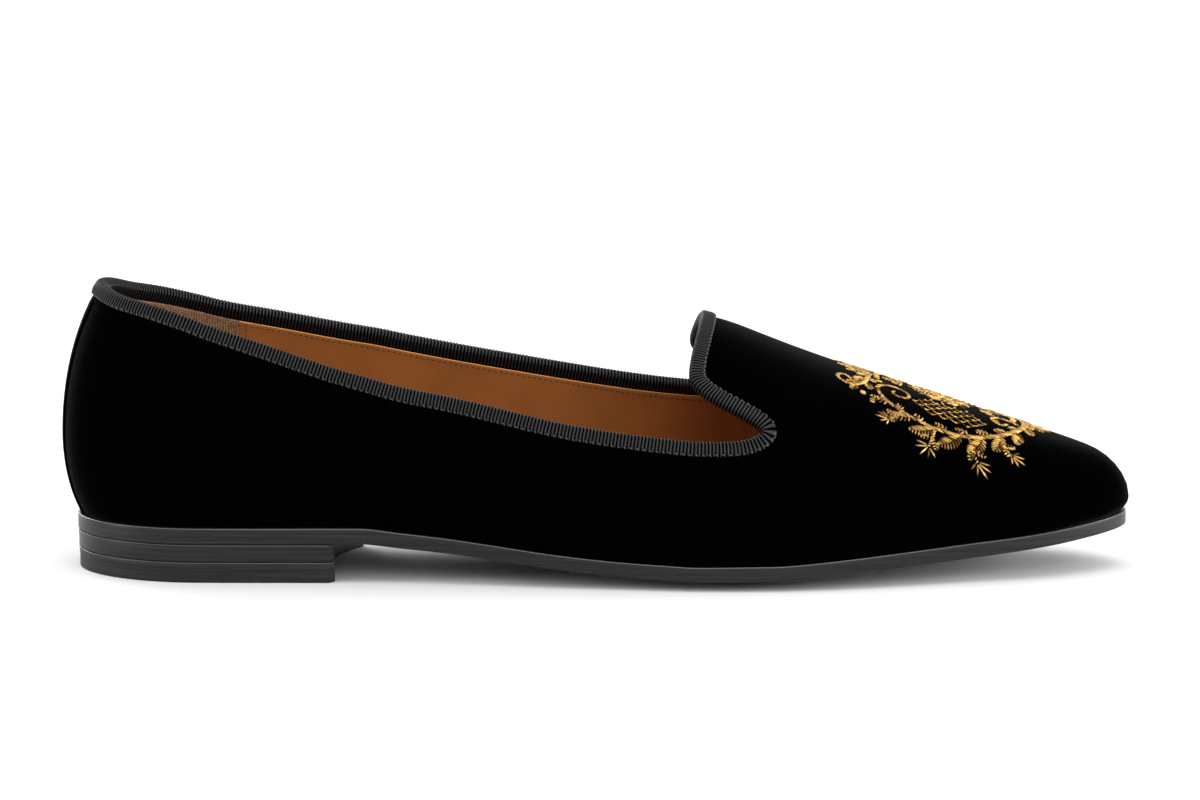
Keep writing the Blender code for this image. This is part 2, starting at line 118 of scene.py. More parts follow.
# The sole along its middle, and how far its edges rise.
SOLE = {
    "x": (0, 40, 74, 84, 95, 106, 122, 137, 149, 156, 174, 186, 200, 220, 240, 254, 262),
    "underside": (9.5, 9.5, 9.5, 8.3, 7.0, 5.4, 3.0, 1.3, 0.4, 0.0, 0.0, 0.8, 2.1, 4.2, 6.6, 8.9,
        10.3),
    "thickness": (3.8, 3.8, 3.8, 3.7, 3.6, 3.5, 3.5, 3.5, 3.6, 3.6, 3.6, 3.5, 3.5, 3.5, 3.4, 3.4,
        3.4),
    "edge_rise": (0.0, 0.0, 0.1, 0.4, 0.7, 1.1, 1.6, 2.0, 2.2, 2.3, 2.5, 2.5, 2.3, 1.8, 1.2, 0.5,
        0.0),
}

# How high the widest line lies, and how far the feather edge lies inside it.
SIDE_WALL = {
    "x": (0, 34, 60, 100, 150, 200, 220, 262),
    "rise": (19.2, 17.4, 16.4, 14.0, 10.0, 8.0, 6.2, 2.9),
    "inset": (4.2, 2.8, 2.1, 1.8, 1.6, 1.6, 1.6, 1.8),
}

# The top of the last, and how square its section is.
RIDGE = {
    "x": (34, 60, 90, 120, 145, 157.5, 163, 170, 178, 191, 212, 236, 250, 262),
    "height": (85.8, 84.0, 78.9, 71.6, 64.8, 61.5, 60.0, 57.3, 54.1, 49.3, 42.4, 34.5, 29.9,
        25.4),
    "power": (2.0, 2.0, 2.0, 2.02, 2.06, 2.1, 2.1, 2.12, 2.15, 2.2, 2.25, 2.3, 2.3, 2.3),
}

# The rows of the top edge: x, its height on the lateral and the medial side, and its rib's foot.
TOP_EDGE = (
    (9.5, 69.2, 69.2, 0.0),
    (14.0, 68.3, 67.8, 6.0),
    (21.0, 66.8, 65.8, 16.0),
    (33.6, 63.2, 62.5, 33.6),
    (48.3, 58.2, 59.5, 48.0),
    (67.5, 51.8, 56.0, 67.0),
    (82.7, 47.5, 53.3, 83.0),
    (95.0, 45.1, 51.0, 95.0),
    (122.0, 39.4, 46.1, 122.5),
    (142.0, 36.5, 42.4, 145.0),
    (158.5, 35.2, 40.4, 166.0),
    (168.0, 35.7, 40.6, 181.0),
    (172.0, 38.0, 42.6, 195.0),
    (168.2, 41.5, 45.4, 210.0),
    (160.0, 45.8, 48.8, 224.0),
    (155.3, 49.6, 51.9, 237.0),
    (154.9, 52.3, 54.0, 246.0),
    (155.8, 56.5, 57.3, 256.0),
    (157.5, 61.3, 61.3, 262.0),
)


class UpperSettings(bpy.types.PropertyGroup):
    velvet: bpy.props.FloatVectorProperty(
        name="Velvet", description="Colour at the root of the velvet pile", subtype="COLOR",
        size=3, min=0, max=1, default=(0.0002, 0.0002, 0.0002))
    pile: bpy.props.FloatVectorProperty(
        name="Pile tips", description="Colour that the tips of the pile show at a low angle",
        subtype="COLOR", size=3, min=0, max=1, default=(0.55, 0.55, 0.57))
    sheen: bpy.props.FloatProperty(
        name="Sheen", description="How much the pile lights up at a low angle",
        subtype="FACTOR", min=0, max=1, default=0.085)
    strip_width: bpy.props.FloatProperty(
        name="Back strip width", description="Width of the strip that covers the back seam",
        unit="LENGTH", min=0.002, default=0.0125)
    strip_relief: bpy.props.FloatProperty(
        name="Back strip relief", description="How far that strip stands out of the velvet",
        unit="LENGTH", min=0, default=0.00045)


class RibbonSettings(bpy.types.PropertyGroup):
    outside: bpy.props.FloatProperty(
        name="Outside", description="How far the ribbon comes down outside the top edge",
        unit="LENGTH", min=0.001, default=0.0029)
    inside: bpy.props.FloatProperty(
        name="Inside", description="How far the ribbon comes down inside the top edge",
        unit="LENGTH", min=0.001, default=0.0028)
    rib_pitch: bpy.props.FloatProperty(
        name="Rib pitch", description="Distance from one rib of the grosgrain to the next",
        unit="LENGTH", min=0.0005, default=0.00084)
    rib_relief: bpy.props.FloatProperty(
        name="Rib relief", description="How far the ribs stand out of the ribbon",
        unit="LENGTH", min=0, default=0.0003)
    stitch_pitch: bpy.props.FloatProperty(
        name="Stitch pitch", description="Distance from one stitch at the lower edge to the next",
        unit="LENGTH", min=0.0005, default=0.00155)
    ribbon: bpy.props.FloatVectorProperty(
        name="Ribbon", description="Colour of the grosgrain", subtype="COLOR",
        size=3, min=0, max=1, default=(0.0024, 0.0024, 0.0026))
    thread: bpy.props.FloatVectorProperty(
        name="Stitch thread", description="Colour of the stitches along the ribbon",
        subtype="COLOR", size=3, min=0, max=1, default=(0.06, 0.06, 0.063))


class LiningSettings(bpy.types.PropertyGroup):
    leather: bpy.props.FloatVectorProperty(
        name="Lining leather", description="Colour of the smooth lining", subtype="COLOR",
        size=3, min=0, max=1, default=(0.335, 0.117, 0.027))
    pocket: bpy.props.FloatVectorProperty(
        name="Heel pocket", description="Colour of the brushed leather round the heel",
        subtype="COLOR", size=3, min=0, max=1, default=(0.27, 0.148, 0.078))
    pocket_length: bpy.props.FloatProperty(
        name="Heel pocket length", description="How far the heel pocket reaches from the back",
        unit="LENGTH", min=0.02, default=0.042)
    stitch_pitch: bpy.props.FloatProperty(
        name="Stitch pitch", description="Distance from one stitch of the lining to the next",
        unit="LENGTH", min=0.001, default=0.0014)
    thread: bpy.props.FloatVectorProperty(
        name="Lining thread", description="Colour of the stitches of the lining",
        subtype="COLOR", size=3, min=0, max=1, default=(0.03, 0.012, 0.005))


class SoleSettings(bpy.types.PropertyGroup):
    edge: bpy.props.FloatVectorProperty(
        name="Sole", description="Colour of the dressed sole and heel leather",
        subtype="COLOR", size=3, min=0, max=1, default=(0.0125, 0.0125, 0.0127))
    rubber: bpy.props.FloatVectorProperty(
        name="Top piece", description="Colour of the heel's lowest layer", subtype="COLOR",
        size=3, min=0, max=1, default=(0.0138, 0.0138, 0.014))
    edge_radius: bpy.props.FloatProperty(
        name="Edge radius", description="How softly the edges of the sole are rounded",
        unit="LENGTH", min=0.0001, max=0.001, default=0.00028)


class EmbroiderySettings(bpy.types.PropertyGroup):
    centre: bpy.props.FloatProperty(
        name="Centre", description="How far the medallion's centre lies from the back of the heel",
        unit="LENGTH", default=0.2155)
    scale: bpy.props.FloatProperty(
        name="Scale", description="Size of the medallion against its design size",
        min=0.5, max=1.2, default=1.0)
    light: bpy.props.FloatVectorProperty(
        name="Light gold", description="Colour of the brightest thread", subtype="COLOR",
        size=3, min=0, max=1, default=(0.9, 0.55, 0.15))
    dark: bpy.props.FloatVectorProperty(
        name="Old gold", description="Colour of the darkest thread", subtype="COLOR",
        size=3, min=0, max=1, default=(0.1, 0.042, 0.006))
    thread: bpy.props.FloatProperty(
        name="Thread width", description="Width of one stitch", unit="LENGTH",
        min=0.0002, default=0.00046)


class StageSettings(bpy.types.PropertyGroup):
    floor: bpy.props.FloatVectorProperty(
        name="Floor", description="Colour of the studio floor", subtype="COLOR",
        size=3, min=0, max=1, default=(0.9, 0.9, 0.9))
    distance: bpy.props.FloatProperty(
        name="Camera distance", description="From the camera to the middle of the shoe",
        unit="LENGTH", default=1.45)
    elevation: bpy.props.FloatProperty(
        name="Camera elevation", description="How far the camera looks down", subtype="ANGLE",
        default=math.radians(8.4))
    yaw: bpy.props.FloatProperty(
        name="Camera yaw", description="How far the camera stands towards the toe",
        subtype="ANGLE", default=math.radians(1.0))
    lens: bpy.props.FloatProperty(
        name="Camera lens", description="Focal length in millimetres", default=177.2)


SETTINGS = {
    "slipper_upper": UpperSettings,
    "slipper_ribbon": RibbonSettings,
    "slipper_lining": LiningSettings,
    "slipper_sole": SoleSettings,
    "slipper_embroidery": EmbroiderySettings,
    "slipper_stage": StageSettings,
}


def steady_curve(knots, values):
    """A curve through the values that never swings past them, so flat stretches stay flat."""
    gaps = np.diff(knots)
    slopes = np.diff(values) / gaps
    tangents = np.zeros(len(knots))
    tangents[[0, -1]] = slopes[[0, -1]]
    for i in np.flatnonzero(slopes[:-1] * slopes[1:] > 0) + 1:
        near = 2 * gaps[i] + gaps[i - 1]
        far = gaps[i] + 2 * gaps[i - 1]
        tangents[i] = (near + far) / (near / slopes[i - 1] + far / slopes[i])
    return hermite(knots, values, tangents)


def even_curve(knots, values):
    """A curve through the values whose bend also changes smoothly."""
    count = len(knots)
    gaps = np.diff(knots)
    slopes = np.diff(values) / gaps
    system = np.zeros((count, count))
    wanted = np.zeros(count)
    system[0, :2] = (2, 1)
    system[-1, -2:] = (1, 2)
    wanted[[0, -1]] = 3 * slopes[[0, -1]]
    for i in range(1, count - 1):
        system[i, i - 1:i + 2] = (gaps[i], 2 * (gaps[i - 1] + gaps[i]), gaps[i - 1])
        wanted[i] = 3 * (gaps[i] * slopes[i - 1] + gaps[i - 1] * slopes[i])
    return hermite(knots, values, np.linalg.solve(system, wanted))


def hermite(knots, values, tangents):
    """The curve with these values and slopes at its knots."""

    def at(x):
        x = np.clip(np.asarray(x, float), knots[0], knots[-1])
        i = np.clip(np.searchsorted(knots, x) - 1, 0, len(knots) - 2)
        gap = knots[i + 1] - knots[i]
        t = (x - knots[i]) / gap
        start = (1 + 2 * t) * (1 - t) ** 2 * values[i] + t * (1 - t) ** 2 * gap * tangents[i]
        end = t * t * (3 - 2 * t) * values[i + 1] - t * t * (1 - t) * gap * tangents[i + 1]
        return start + end

    return at


def curve_of(table, name, make):
    """The curve of one column of a table against its x column."""
    return make(np.array(table["x"], float), np.array(table[name], float))


middle_of = curve_of(OUTLINE, "middle", even_curve)
lateral_of = curve_of(OUTLINE, "lateral", even_curve)
medial_of = curve_of(OUTLINE, "medial", even_curve)
underside_of = curve_of(SOLE, "underside", steady_curve)
thickness_of = curve_of(SOLE, "thickness", steady_curve)
edge_rise_of = curve_of(SOLE, "edge_rise", steady_curve)
wall_rise_of = curve_of(SIDE_WALL, "rise", steady_curve)
wall_inset_of = curve_of(SIDE_WALL, "inset", steady_curve)
ridge_line_of = curve_of(RIDGE, "height", even_curve)
power_of = curve_of(RIDGE, "power", steady_curve)


def unit(vectors):
    """The same directions, each with length one."""
    return vectors / np.maximum(np.linalg.norm(vectors, axis=-1, keepdims=True), 1e-9)


def dots(first, second):
    """The product of each direction with its partner."""
    return np.sum(first * second, axis=-1)


def walk_of(places):
    """How far has been walked at each place of a line."""
    steps = np.linalg.norm(np.diff(places, axis=0), axis=1)
    return np.concatenate([[0], np.cumsum(steps)])


def near_heel(x):
    """1 at the back of the heel, and 0 from where its rounding ends."""
    return np.clip(1 - x / HEEL_ROUND, 0, 1)


def near_toe(x, reach):
    """1 at the tip of the toe, and 0 from that far behind it."""
    return np.clip((x - (SHOE_LENGTH - reach)) / reach, 0, 1)


def end_rounding(x):
    """How far the outline is drawn in at the heel and at the toe: 1 between, 0 at both ends."""
    ends = (1 - near_heel(x) ** 2) * (1 - near_toe(x, TOE_ROUND) ** 2)
    return np.sqrt(np.clip(ends, 0, 1))


def feather_height(x):
    """Height of the feather edge, where the upper meets the sole."""
    return underside_of(x) + thickness_of(x) + FEATHER_RISE * edge_rise_of(x) + GAP


def widest_height(x):
    """Height of the widest line round the upper."""
    return feather_height(x) + wall_rise_of(x)


def ridge_height(x):
    """Height of the top of the last at x. Behind the tongue nothing is built this high."""
    low = widest_height(x)
    dome = widest_height(0.0) + HEEL_DOME * np.sqrt(1 - near_heel(x) ** 2)
    fall = np.sqrt(1 - near_toe(x, TOE_DROP) ** TOE_DROP_POWER)
    return np.where(x < HEEL_ROUND, dome, low + (ridge_line_of(x) - low) * fall)


def half_width(x, on_lateral):
    """Half width of the outline on one side of its middle line."""
    return np.where(on_lateral, lateral_of(x), medial_of(x)) * end_rounding(x)


def last_point(x, around):
    """The point of the lasted surface at x, turned by around from the lateral side over the top."""
    power = power_of(x)
    across = np.cos(around)
    up = np.sin(around)
    reach = (np.abs(across) ** power + np.abs(up) ** power) ** (-1 / power)
    y = middle_of(x) - half_width(x, across > 0) * reach * across
    low = widest_height(x)
    z = low + (ridge_height(x) - low) * reach * up
    return np.stack([x + 0 * y, y, z], axis=-1)


def last_height(x, y):
    """Height of the lasted surface over a place in plan."""
    power = power_of(x)
    off = y - middle_of(x)
    width = np.maximum(half_width(x, off < 0), 1e-6)
    share = np.clip(np.abs(off) / width, 0, 1)
    low = widest_height(x)
    return low + (ridge_height(x) - low) * (1 - share**power) ** (1 / power)


def outline_point(turn):
    """A point of the widest outline in plan: turn 0 is the heel, pi the toe, lateral side first."""
    turn = np.mod(turn, 2 * math.pi)
    x = SHOE_LENGTH * (1 - np.cos(turn)) / 2
    on_lateral = turn < math.pi
    side = np.where(on_lateral, -1.0, 1.0)
    y = middle_of(x) + side * half_width(x, on_lateral)
    return np.stack([x, y], axis=-1)


def outline_inward(turn):
    """The direction in plan that points into the outline."""
    along = unit(outline_point(turn + 0.004) - outline_point(turn - 0.004))
    return np.stack([-along[..., 1], along[..., 0]], axis=-1)


def sole_outline(turn, inside=0.0):
    """A point of the sole's edge in plan, or of a line that far inside it."""
    edge = outline_point(turn)
    x = edge[..., 0]
    back = near_heel(x)
    margin = SOLE_MARGIN + (SOLE_MARGIN_BACK - SOLE_MARGIN) * back
    move = wall_inset_of(x) - margin + inside
    return edge + outline_inward(turn) * move[..., None]


def insole_edge(turn, inside=0.0):
    """The insole's edge in plan, clear of the inside of the upper."""
    edge = outline_point(turn)
    move = wall_inset_of(edge[..., 0]) + WALL + INSOLE_CLEARANCE + inside
    return edge + outline_inward(turn) * move[..., None]


def turns(count):
    """That many equal steps round the outline."""
    return np.arange(count) * 2 * math.pi / count


def turn_of_foot(foot, on_lateral):
    """Where round the outline a place at x lies."""
    turn = math.acos(1 - 2 * foot / SHOE_LENGTH)
    return turn if on_lateral else 2 * math.pi - turn


def around_of_height(x, z, on_lateral):
    """How far round the section at x the surface reaches the height z."""
    low = float(widest_height(x))
    up = min((z - low) / (float(ridge_height(x)) - low), 1.0)
    power = float(power_of(x))
    across = (1 - up**power) ** (1 / power)
    around = math.atan2(up, across)
    return around if on_lateral else math.pi - around


def top_edge_curves():
    """The closed top edge as curves of x, around and rib foot against the way along it."""
    knots = []
    for row in TOP_EDGE:
        x, lateral, medial, foot = row
        for z, on_lateral in ((lateral, True), (medial, False)):
            on_ridge = row in (TOP_EDGE[0], TOP_EDGE[-1])
            around = math.pi / 2 if on_ridge else around_of_height(x, z, on_lateral)
            knots.append((x, around, turn_of_foot(foot, on_lateral)))
    knots = np.array(knots[::2] + knots[-3:1:-2])
    edge = last_point(knots[:, 0], knots[:, 1])
    feet = outline_point(knots[:, 2])
    steps = np.linalg.norm(np.roll(edge, -1, axis=0) - edge, axis=1)
    foot_steps = np.linalg.norm(np.roll(feet, -1, axis=0) - feet, axis=1)
    way = np.concatenate([[0], np.cumsum(np.hypot(steps, RIB_FOOT_WEIGHT * foot_steps))])
    total = way[-1]
    lap = np.array([0, 0, 2 * math.pi])
    wrapped = np.concatenate([knots[-4:] - lap, knots, knots[:5] + lap])
    ways = np.concatenate([way[-5:-1] - total, way[:-1], way[:5] + total])
    x_of = even_curve(ways, wrapped[:, 0])
    around_of = even_curve(ways, wrapped[:, 1])
    foot_of = steady_curve(ways, wrapped[:, 2])
    return total, x_of, around_of, foot_of


EDGE_TOTAL, EDGE_X, EDGE_AROUND, EDGE_FOOT = top_edge_curves()


def edge_lengths():
    """Ways round the top edge against the true length walked along it."""
    ways = np.linspace(0, EDGE_TOTAL, EDGE_SAMPLES)
    return ways, walk_of(last_point(EDGE_X(ways), EDGE_AROUND(ways)))


EDGE_WAYS, EDGE_LENGTHS = edge_lengths()
EDGE_LENGTH = float(EDGE_LENGTHS[-1])


def even_ways(lengths):
    """The ways at which these lengths of the top edge have been walked."""
    return np.interp(np.mod(lengths, EDGE_LENGTH), EDGE_LENGTHS, EDGE_WAYS)


def directions_of(places, closed):
    """Outward directions of a net of places: rows go down the shoe, columns round it."""
    if closed:
        along = np.roll(places, -1, axis=1) - np.roll(places, 1, axis=1)
    else:
        along = np.gradient(places, axis=1)
    return unit(np.cross(np.gradient(places, axis=0), along))


def upper_net(ways, drops, wall_rows):
    """Places of the lasted surface in rows from near the top edge down to the feather edge.

    Rows with a positive drop lie that far below the edge. A negative drop is a share of the way
    left from the lowest of those to the widest line. The last rows go down the side wall.
    """
    turn = EDGE_FOOT(ways)
    feet = outline_point(turn)
    inward = outline_inward(turn)
    top = last_point(EDGE_X(ways), EDGE_AROUND(ways))
    lean = EDGE_AROUND(ways)
    lean = np.minimum(lean, math.pi - lean)[:, None]
    share = np.linspace(0, 1, LAST_STEPS + 1)[1:]
    move = (1 - np.cos(share[None, :] * lean)) / (1 - np.cos(lean))
    plan = feet[:, None, :] + (top[:, None, :2] - feet[:, None, :]) * move[:, :, None]
    fine = np.concatenate([plan, last_height(plan[..., 0], plan[..., 1])[..., None]], axis=2)
    low = widest_height(feet[:, 0])
    foot = np.column_stack([feet, low])[:, None, :]
    fine = np.concatenate([foot, fine], axis=1)[:, ::-1]
    gone = np.linalg.norm(np.diff(fine, axis=1), axis=2).cumsum(axis=1)
    gone = np.concatenate([np.zeros((len(ways), 1)), gone], axis=1)
    drops = np.array(drops, float)
    lowest = drops.max()
    rows = np.empty((len(drops), len(ways), 3))
    for i in range(len(ways)):
        reach = gone[i, -1]
        wanted = np.where(drops >= 0, drops, lowest - drops * (reach - lowest))
        wanted = np.minimum(wanted, reach)
        for axis in range(3):
            rows[:, i, axis] = np.interp(wanted, gone[i], fine[i, :, axis])
    inset = wall_inset_of(feet[:, 0])
    feather = feet + inward * inset[:, None]
    fall = low - feather_height(feather[:, 0])
    walls = []
    for row in range(1, wall_rows + 1):
        angle = TURN_AT_FEATHER * row / wall_rows
        gone_in = inset * (1 - math.cos(angle)) / (1 - math.cos(TURN_AT_FEATHER))
        z = low - fall * math.sin(angle) / math.sin(TURN_AT_FEATHER)
        walls.append(np.column_stack([feet + inward * gone_in[:, None], z]))
    return np.concatenate([rows, np.array(walls)])


def shares_left(count):
    """Drops of that many even rows below the last fixed one."""
    return list(-np.arange(1, count + 1) / count)


def surface_slopes(x, around):
    """The two slopes of the lasted surface there and its outward direction."""
    step = 0.05
    turn = 0.002
    along = (last_point(x + step, around) - last_point(x - step, around)) / (2 * step)
    over = (last_point(x, around + turn) - last_point(x, around - turn)) / (2 * turn)
    return along, over, unit(np.cross(along, over))


def edge_walk(ways, distances):
    """Places on the surface at these distances below the top edge, square to it."""
    x = EDGE_X(ways).copy()
    around = EDGE_AROUND(ways).copy()
    ahead = last_point(EDGE_X(ways + 0.2), EDGE_AROUND(ways + 0.2))
    behind = last_point(EDGE_X(ways - 0.2), EDGE_AROUND(ways - 0.2))
    tangent = unit(ahead - behind)
    down = np.cross(tangent, surface_slopes(x, around)[2])
    gone = 0.0
    found = []
    for distance in distances:
        stride = (distance - gone) / STRIDES
        for _ in range(STRIDES):
            along, over, outward = surface_slopes(x, around)
            down = unit(down - outward * dots(down, outward)[:, None])
            aa, ao, oo = dots(along, along), dots(along, over), dots(over, over)
            ad, od = dots(along, down), dots(over, down)
            area = aa * oo - ao * ao
            x = x + stride * (ad * oo - od * ao) / area
            around = around + stride * (od * aa - ad * ao) / area
        gone = distance
        found.append((last_point(x, around), surface_slopes(x, around)[2], down))
    return found, tangent


def net_piece(name, net, closed, look, flip=False, sharp=180):
    """A sheet drawn as a grid and laid on a net of places, in millimetres of the last.

    Its attribute "net" keeps each place's column and row.
    """
    rows, columns = net.shape[:2]
    if closed:
        net = np.concatenate([net, net[:, :1]], axis=1)
        columns += 1
    net = (net - ORIGIN) * MM
    form = bmesh.new()
    bmesh.ops.create_grid(form, x_segments=columns - 1, y_segments=rows - 1, size=1.0)
    layer = form.verts.layers.float_vector.new("net")
    for vertex in form.verts:
        i = round((vertex.co.x + 1) / 2 * (columns - 1))
        j = round((vertex.co.y + 1) / 2 * (rows - 1))
        vertex.co = net[j, i]
        vertex[layer] = (i, j, 0.0)
    bmesh.ops.remove_doubles(form, verts=form.verts, dist=2e-6)
    if flip:
        bmesh.ops.reverse_faces(form, faces=form.faces)
    return finish_piece(form, name, look, sharp)


def finish_piece(form, name, look, sharp=180):
    """Turns the drawn form into a named object with its material."""
    mesh = bpy.data.meshes.new(name)
    form.to_mesh(mesh)
    form.free()
    mesh.materials.append(look)
    mesh.shade_smooth()
    if sharp < 180:
        mesh.set_sharp_from_angle(angle=math.radians(sharp))
    piece = bpy.data.objects.new(name, mesh)
    bpy.context.scene.collection.objects.link(piece)
    return piece


def add_wall(piece, thickness):
    """Gives a sheet its wall, turned inwards."""
    wall = piece.modifiers.new("wall", "SOLIDIFY")
    wall.thickness = thickness * MM
    wall.offset = -1.0


def bead(form, place, along, outward, size):
    """One small rounded stitch of the last: its length, width and height come from size."""
    side = unit(np.cross(outward, along))
    axes = np.column_stack([along, side, np.cross(along, side)]) * size * MM / 2
    turn = np.identity(4)
    turn[:3, :3] = axes
    turn[:3, 3] = (place - ORIGIN) * MM
    bmesh.ops.create_icosphere(form, subdivisions=1, radius=1.0, matrix=Matrix(turn.tolist()))


def bead_piece(name, beads, look):
    """Many small rounded stitches as one piece, drawn in batches to save time."""
    whole = bmesh.new()
    part = bpy.data.meshes.new(name + "_part")
    for first in range(0, len(beads), BEAD_BATCH):
        form = bmesh.new()
        for values in beads[first:first + BEAD_BATCH]:
            bead(form, *values)
        form.to_mesh(part)
        form.free()
        whole.from_mesh(part)
    bpy.data.meshes.remove(part)
    return finish_piece(whole, name, look)


def bead_row(name, places, alongs, outwards, size, look):
    """A row of equal small stitches as one piece."""
    beads = [(*values, size) for values in zip(places, alongs, outwards)]
    return bead_piece(name, beads, look)


def feed(tree, value, socket):
    """Gives a socket a plain value, or links it to the socket it is given."""
    if isinstance(value, bpy.types.NodeSocket):
        tree.links.new(value, socket)
    else:
        socket.default_value = value


def add_node(tree, kind, **values):
    """A shader node with its inputs by name and its other settings by attribute."""
    made = tree.nodes.new(kind)
    for key, value in values.items():
        if hasattr(made, key):
            setattr(made, key, value)
        else:
            feed(tree, value, made.inputs[key.replace("_", " ")])
    return made


def math_node(tree, operation, *values, clamp=False):
    """A Math node fed by sockets or by plain numbers."""
    made = add_node(tree, "ShaderNodeMath", operation=operation, use_clamp=clamp)
    for value, socket in zip(values, made.inputs):
        feed(tree, value, socket)
    return made.outputs[0]


def mix_node(tree, share, first, second, blend="MIX"):
    """A colour Mix node fed by sockets or by plain values."""
    made = add_node(tree, "ShaderNodeMix", data_type="RGBA", blend_type=blend)
    for value, place in ((share, 0), (first, 6), (second, 7)):
        feed(tree, value, made.inputs[place])
    return made.outputs[2]


def ramp_node(tree, source, stops):
    """A colour ramp with these places and grey levels."""
    made = add_node(tree, "ShaderNodeValToRGB", Fac=source)
    elements = made.color_ramp.elements
    while len(elements) < len(stops):
        elements.new(0.5)
    for element, (place, level) in zip(elements, stops):
        element.position = place
        element.color = (level, level, level, 1)
    return made.outputs["Color"]


def parts_of(tree, vector):
    """The X, Y and Z of a vector."""
    return add_node(tree, "ShaderNodeSeparateXYZ", Vector=vector).outputs


def attribute_node(tree, name, output="Fac"):
    """What a piece keeps under this name at each of its places."""
    return add_node(tree, "ShaderNodeAttribute", attribute_name=name).outputs[output]


def object_place(tree):
    """The place on the piece, in metres."""
    return add_node(tree, "ShaderNodeTexCoord").outputs["Object"]


def noise_node(tree, scale, detail, roughness=0.5, place=None):
    """A noise over the piece's own places, or over the place that is given."""
    place = object_place(tree) if place is None else place
    made = add_node(
        tree, "ShaderNodeTexNoise", Vector=place, Scale=scale, Detail=detail,
        Roughness=roughness)
    return made.outputs["Fac"]


def shade(colour, factor=1.0):
    """A colour, or a darker or lighter version of it, with full opacity."""
    return (*(min(1.0, channel * factor) for channel in colour[:3]), 1.0)


def effect_group(name, inputs, fill):
    """A node group with number inputs that puts out a tone and a height, and is built once."""
    tree = bpy.data.node_groups.get(name)
    if tree is None:
        tree = bpy.data.node_groups.new(name, "ShaderNodeTree")
        for label in inputs:
            tree.interface.new_socket(label, in_out="INPUT", socket_type="NodeSocketFloat")
        for label in ("Tone", "Height"):
            tree.interface.new_socket(label, in_out="OUTPUT", socket_type="NodeSocketFloat")
        given = tree.nodes.new("NodeGroupInput").outputs
        end = tree.nodes.new("NodeGroupOutput")
        for value, socket in zip(fill(tree, given), end.inputs):
            feed(tree, value, socket)
    return tree


def leather_grain(tree, given):
    """Fine leather grain: pebbles between thin creases, and slow patches of tone."""
    cells = add_node(
        tree, "ShaderNodeTexVoronoi", feature="DISTANCE_TO_EDGE", Vector=object_place(tree),
        Scale=given["Scale"])
    fine = noise_node(tree, given["Scale"], 4.0, 0.6)
    patch = noise_node(tree, given["Patch Scale"], 5.0, 0.6)
    pebble = math_node(tree, "MINIMUM", cells.outputs["Distance"], 0.25)
    height = math_node(tree, "MULTIPLY_ADD", pebble, 2.0, fine)
    return math_node(tree, "MULTIPLY_ADD", fine, 0.35, patch), height


def edge_streaks(tree, given):
    """Long fine streaks that a dressed leather edge shows, running along the shoe."""
    along = given["Along"]
    scale = add_node(tree, "ShaderNodeCombineXYZ", X=along, Y=along, Z=given["Across"])
    spread = add_node(tree, "ShaderNodeVectorMath", operation="MULTIPLY")
    feed(tree, object_place(tree), spread.inputs[0])
    feed(tree, scale.outputs[0], spread.inputs[1])
    streak = noise_node(tree, 1.0, 5.0, 0.65, spread.outputs[0])
    tone = math_node(tree, "MULTIPLY_ADD", noise_node(tree, 2500.0, 3.0), 0.25, streak)
    return tone, tone


def feed_shader(tree, shader, **sockets):
    """Feeds the shader's sockets by name, each with a plain value or a socket."""
    for key, value in sockets.items():
        feed(tree, value, shader.inputs[key.replace("_", " ")])


def start_material(name, **sockets):
    """A material with its shader, and plain values set on the shader's own sockets."""
    look = bpy.data.materials.new(name)
    look.use_nodes = True
    tree = look.node_tree
    shader = tree.nodes["Principled BSDF"]
    feed_shader(tree, shader, **sockets)
    return look, tree, shader


def add_bump(tree, shader, height, strength, distance):
    """Feeds a height into the shader's normal."""
    bump = add_node(
        tree, "ShaderNodeBump", Strength=strength, Distance=distance, Height=height)
    feed_shader(tree, shader, Normal=bump.outputs["Normal"])


def velvet_material(settings):
    """Deep black cotton velvet whose short pile lights up softly at its edges."""
    look, tree, shader = start_material(
        "black_velvet", Specular_IOR_Level=0.0, Sheen_Weight=settings.sheen,
        Sheen_Roughness=0.26, Sheen_Tint=shade(settings.pile), Roughness=0.95)
    pile = noise_node(tree, 3200.0, 3.0, 0.7)
    brushed = noise_node(tree, 38.0, 4.0, 0.55)
    nap = math_node(tree, "MULTIPLY", math_node(tree, "POWER", pile, 5.0), brushed)
    nap = math_node(tree, "MULTIPLY", nap, 6.0, clamp=True)
    tint = mix_node(tree, nap, shade(settings.velvet), shade(settings.velvet, 12))
    feed_shader(tree, shader, Base_Color=tint)
    add_bump(tree, shader, math_node(tree, "MULTIPLY_ADD", brushed, 4.0, pile), 0.5, 0.0002)
    return look


def ribbon_material(settings):
    """Black grosgrain: satin ribs crossed by a fine weave, painted darker as shade in the rib
    valleys and between the cross threads.
    """
    look, tree, shader = start_material(
        "grosgrain_ribbon", Specular_IOR_Level=0.0, Coat_Roughness=0.45)
    yarn = noise_node(tree, 4200.0, 2.0, 0.6)
    rib = ramp_node(tree, attribute_node(tree, "rib"), ((0.45, 0.0), (1.0, 1.0)))
    warp = math_node(tree, "MULTIPLY", attribute_node(tree, "down"), 8.2)
    warp = math_node(tree, "ABSOLUTE", math_node(tree, "SINE", warp))
    weave = math_node(tree, "MULTIPLY_ADD", warp, 0.75, yarn)
    weave = ramp_node(tree, weave, ((0.45, 0.12), (1.0, 1.0)))
    # Painted shade: the rib valleys and the gaps of the weave are made far darker than the rib
    # tops.
    thread = mix_node(tree, 1.0, rib, weave, blend="MULTIPLY")
    tone = mix_node(tree, thread, shade(settings.ribbon, 0.05), shade(settings.ribbon, 5.0))
    rough = math_node(tree, "MULTIPLY_ADD", yarn, 0.4, 0.26)
    feed_shader(tree, shader, Base_Color=tone, Coat_Weight=thread, Roughness=rough)
    add_bump(tree, shader, yarn, 0.5, 0.00012)
    return look


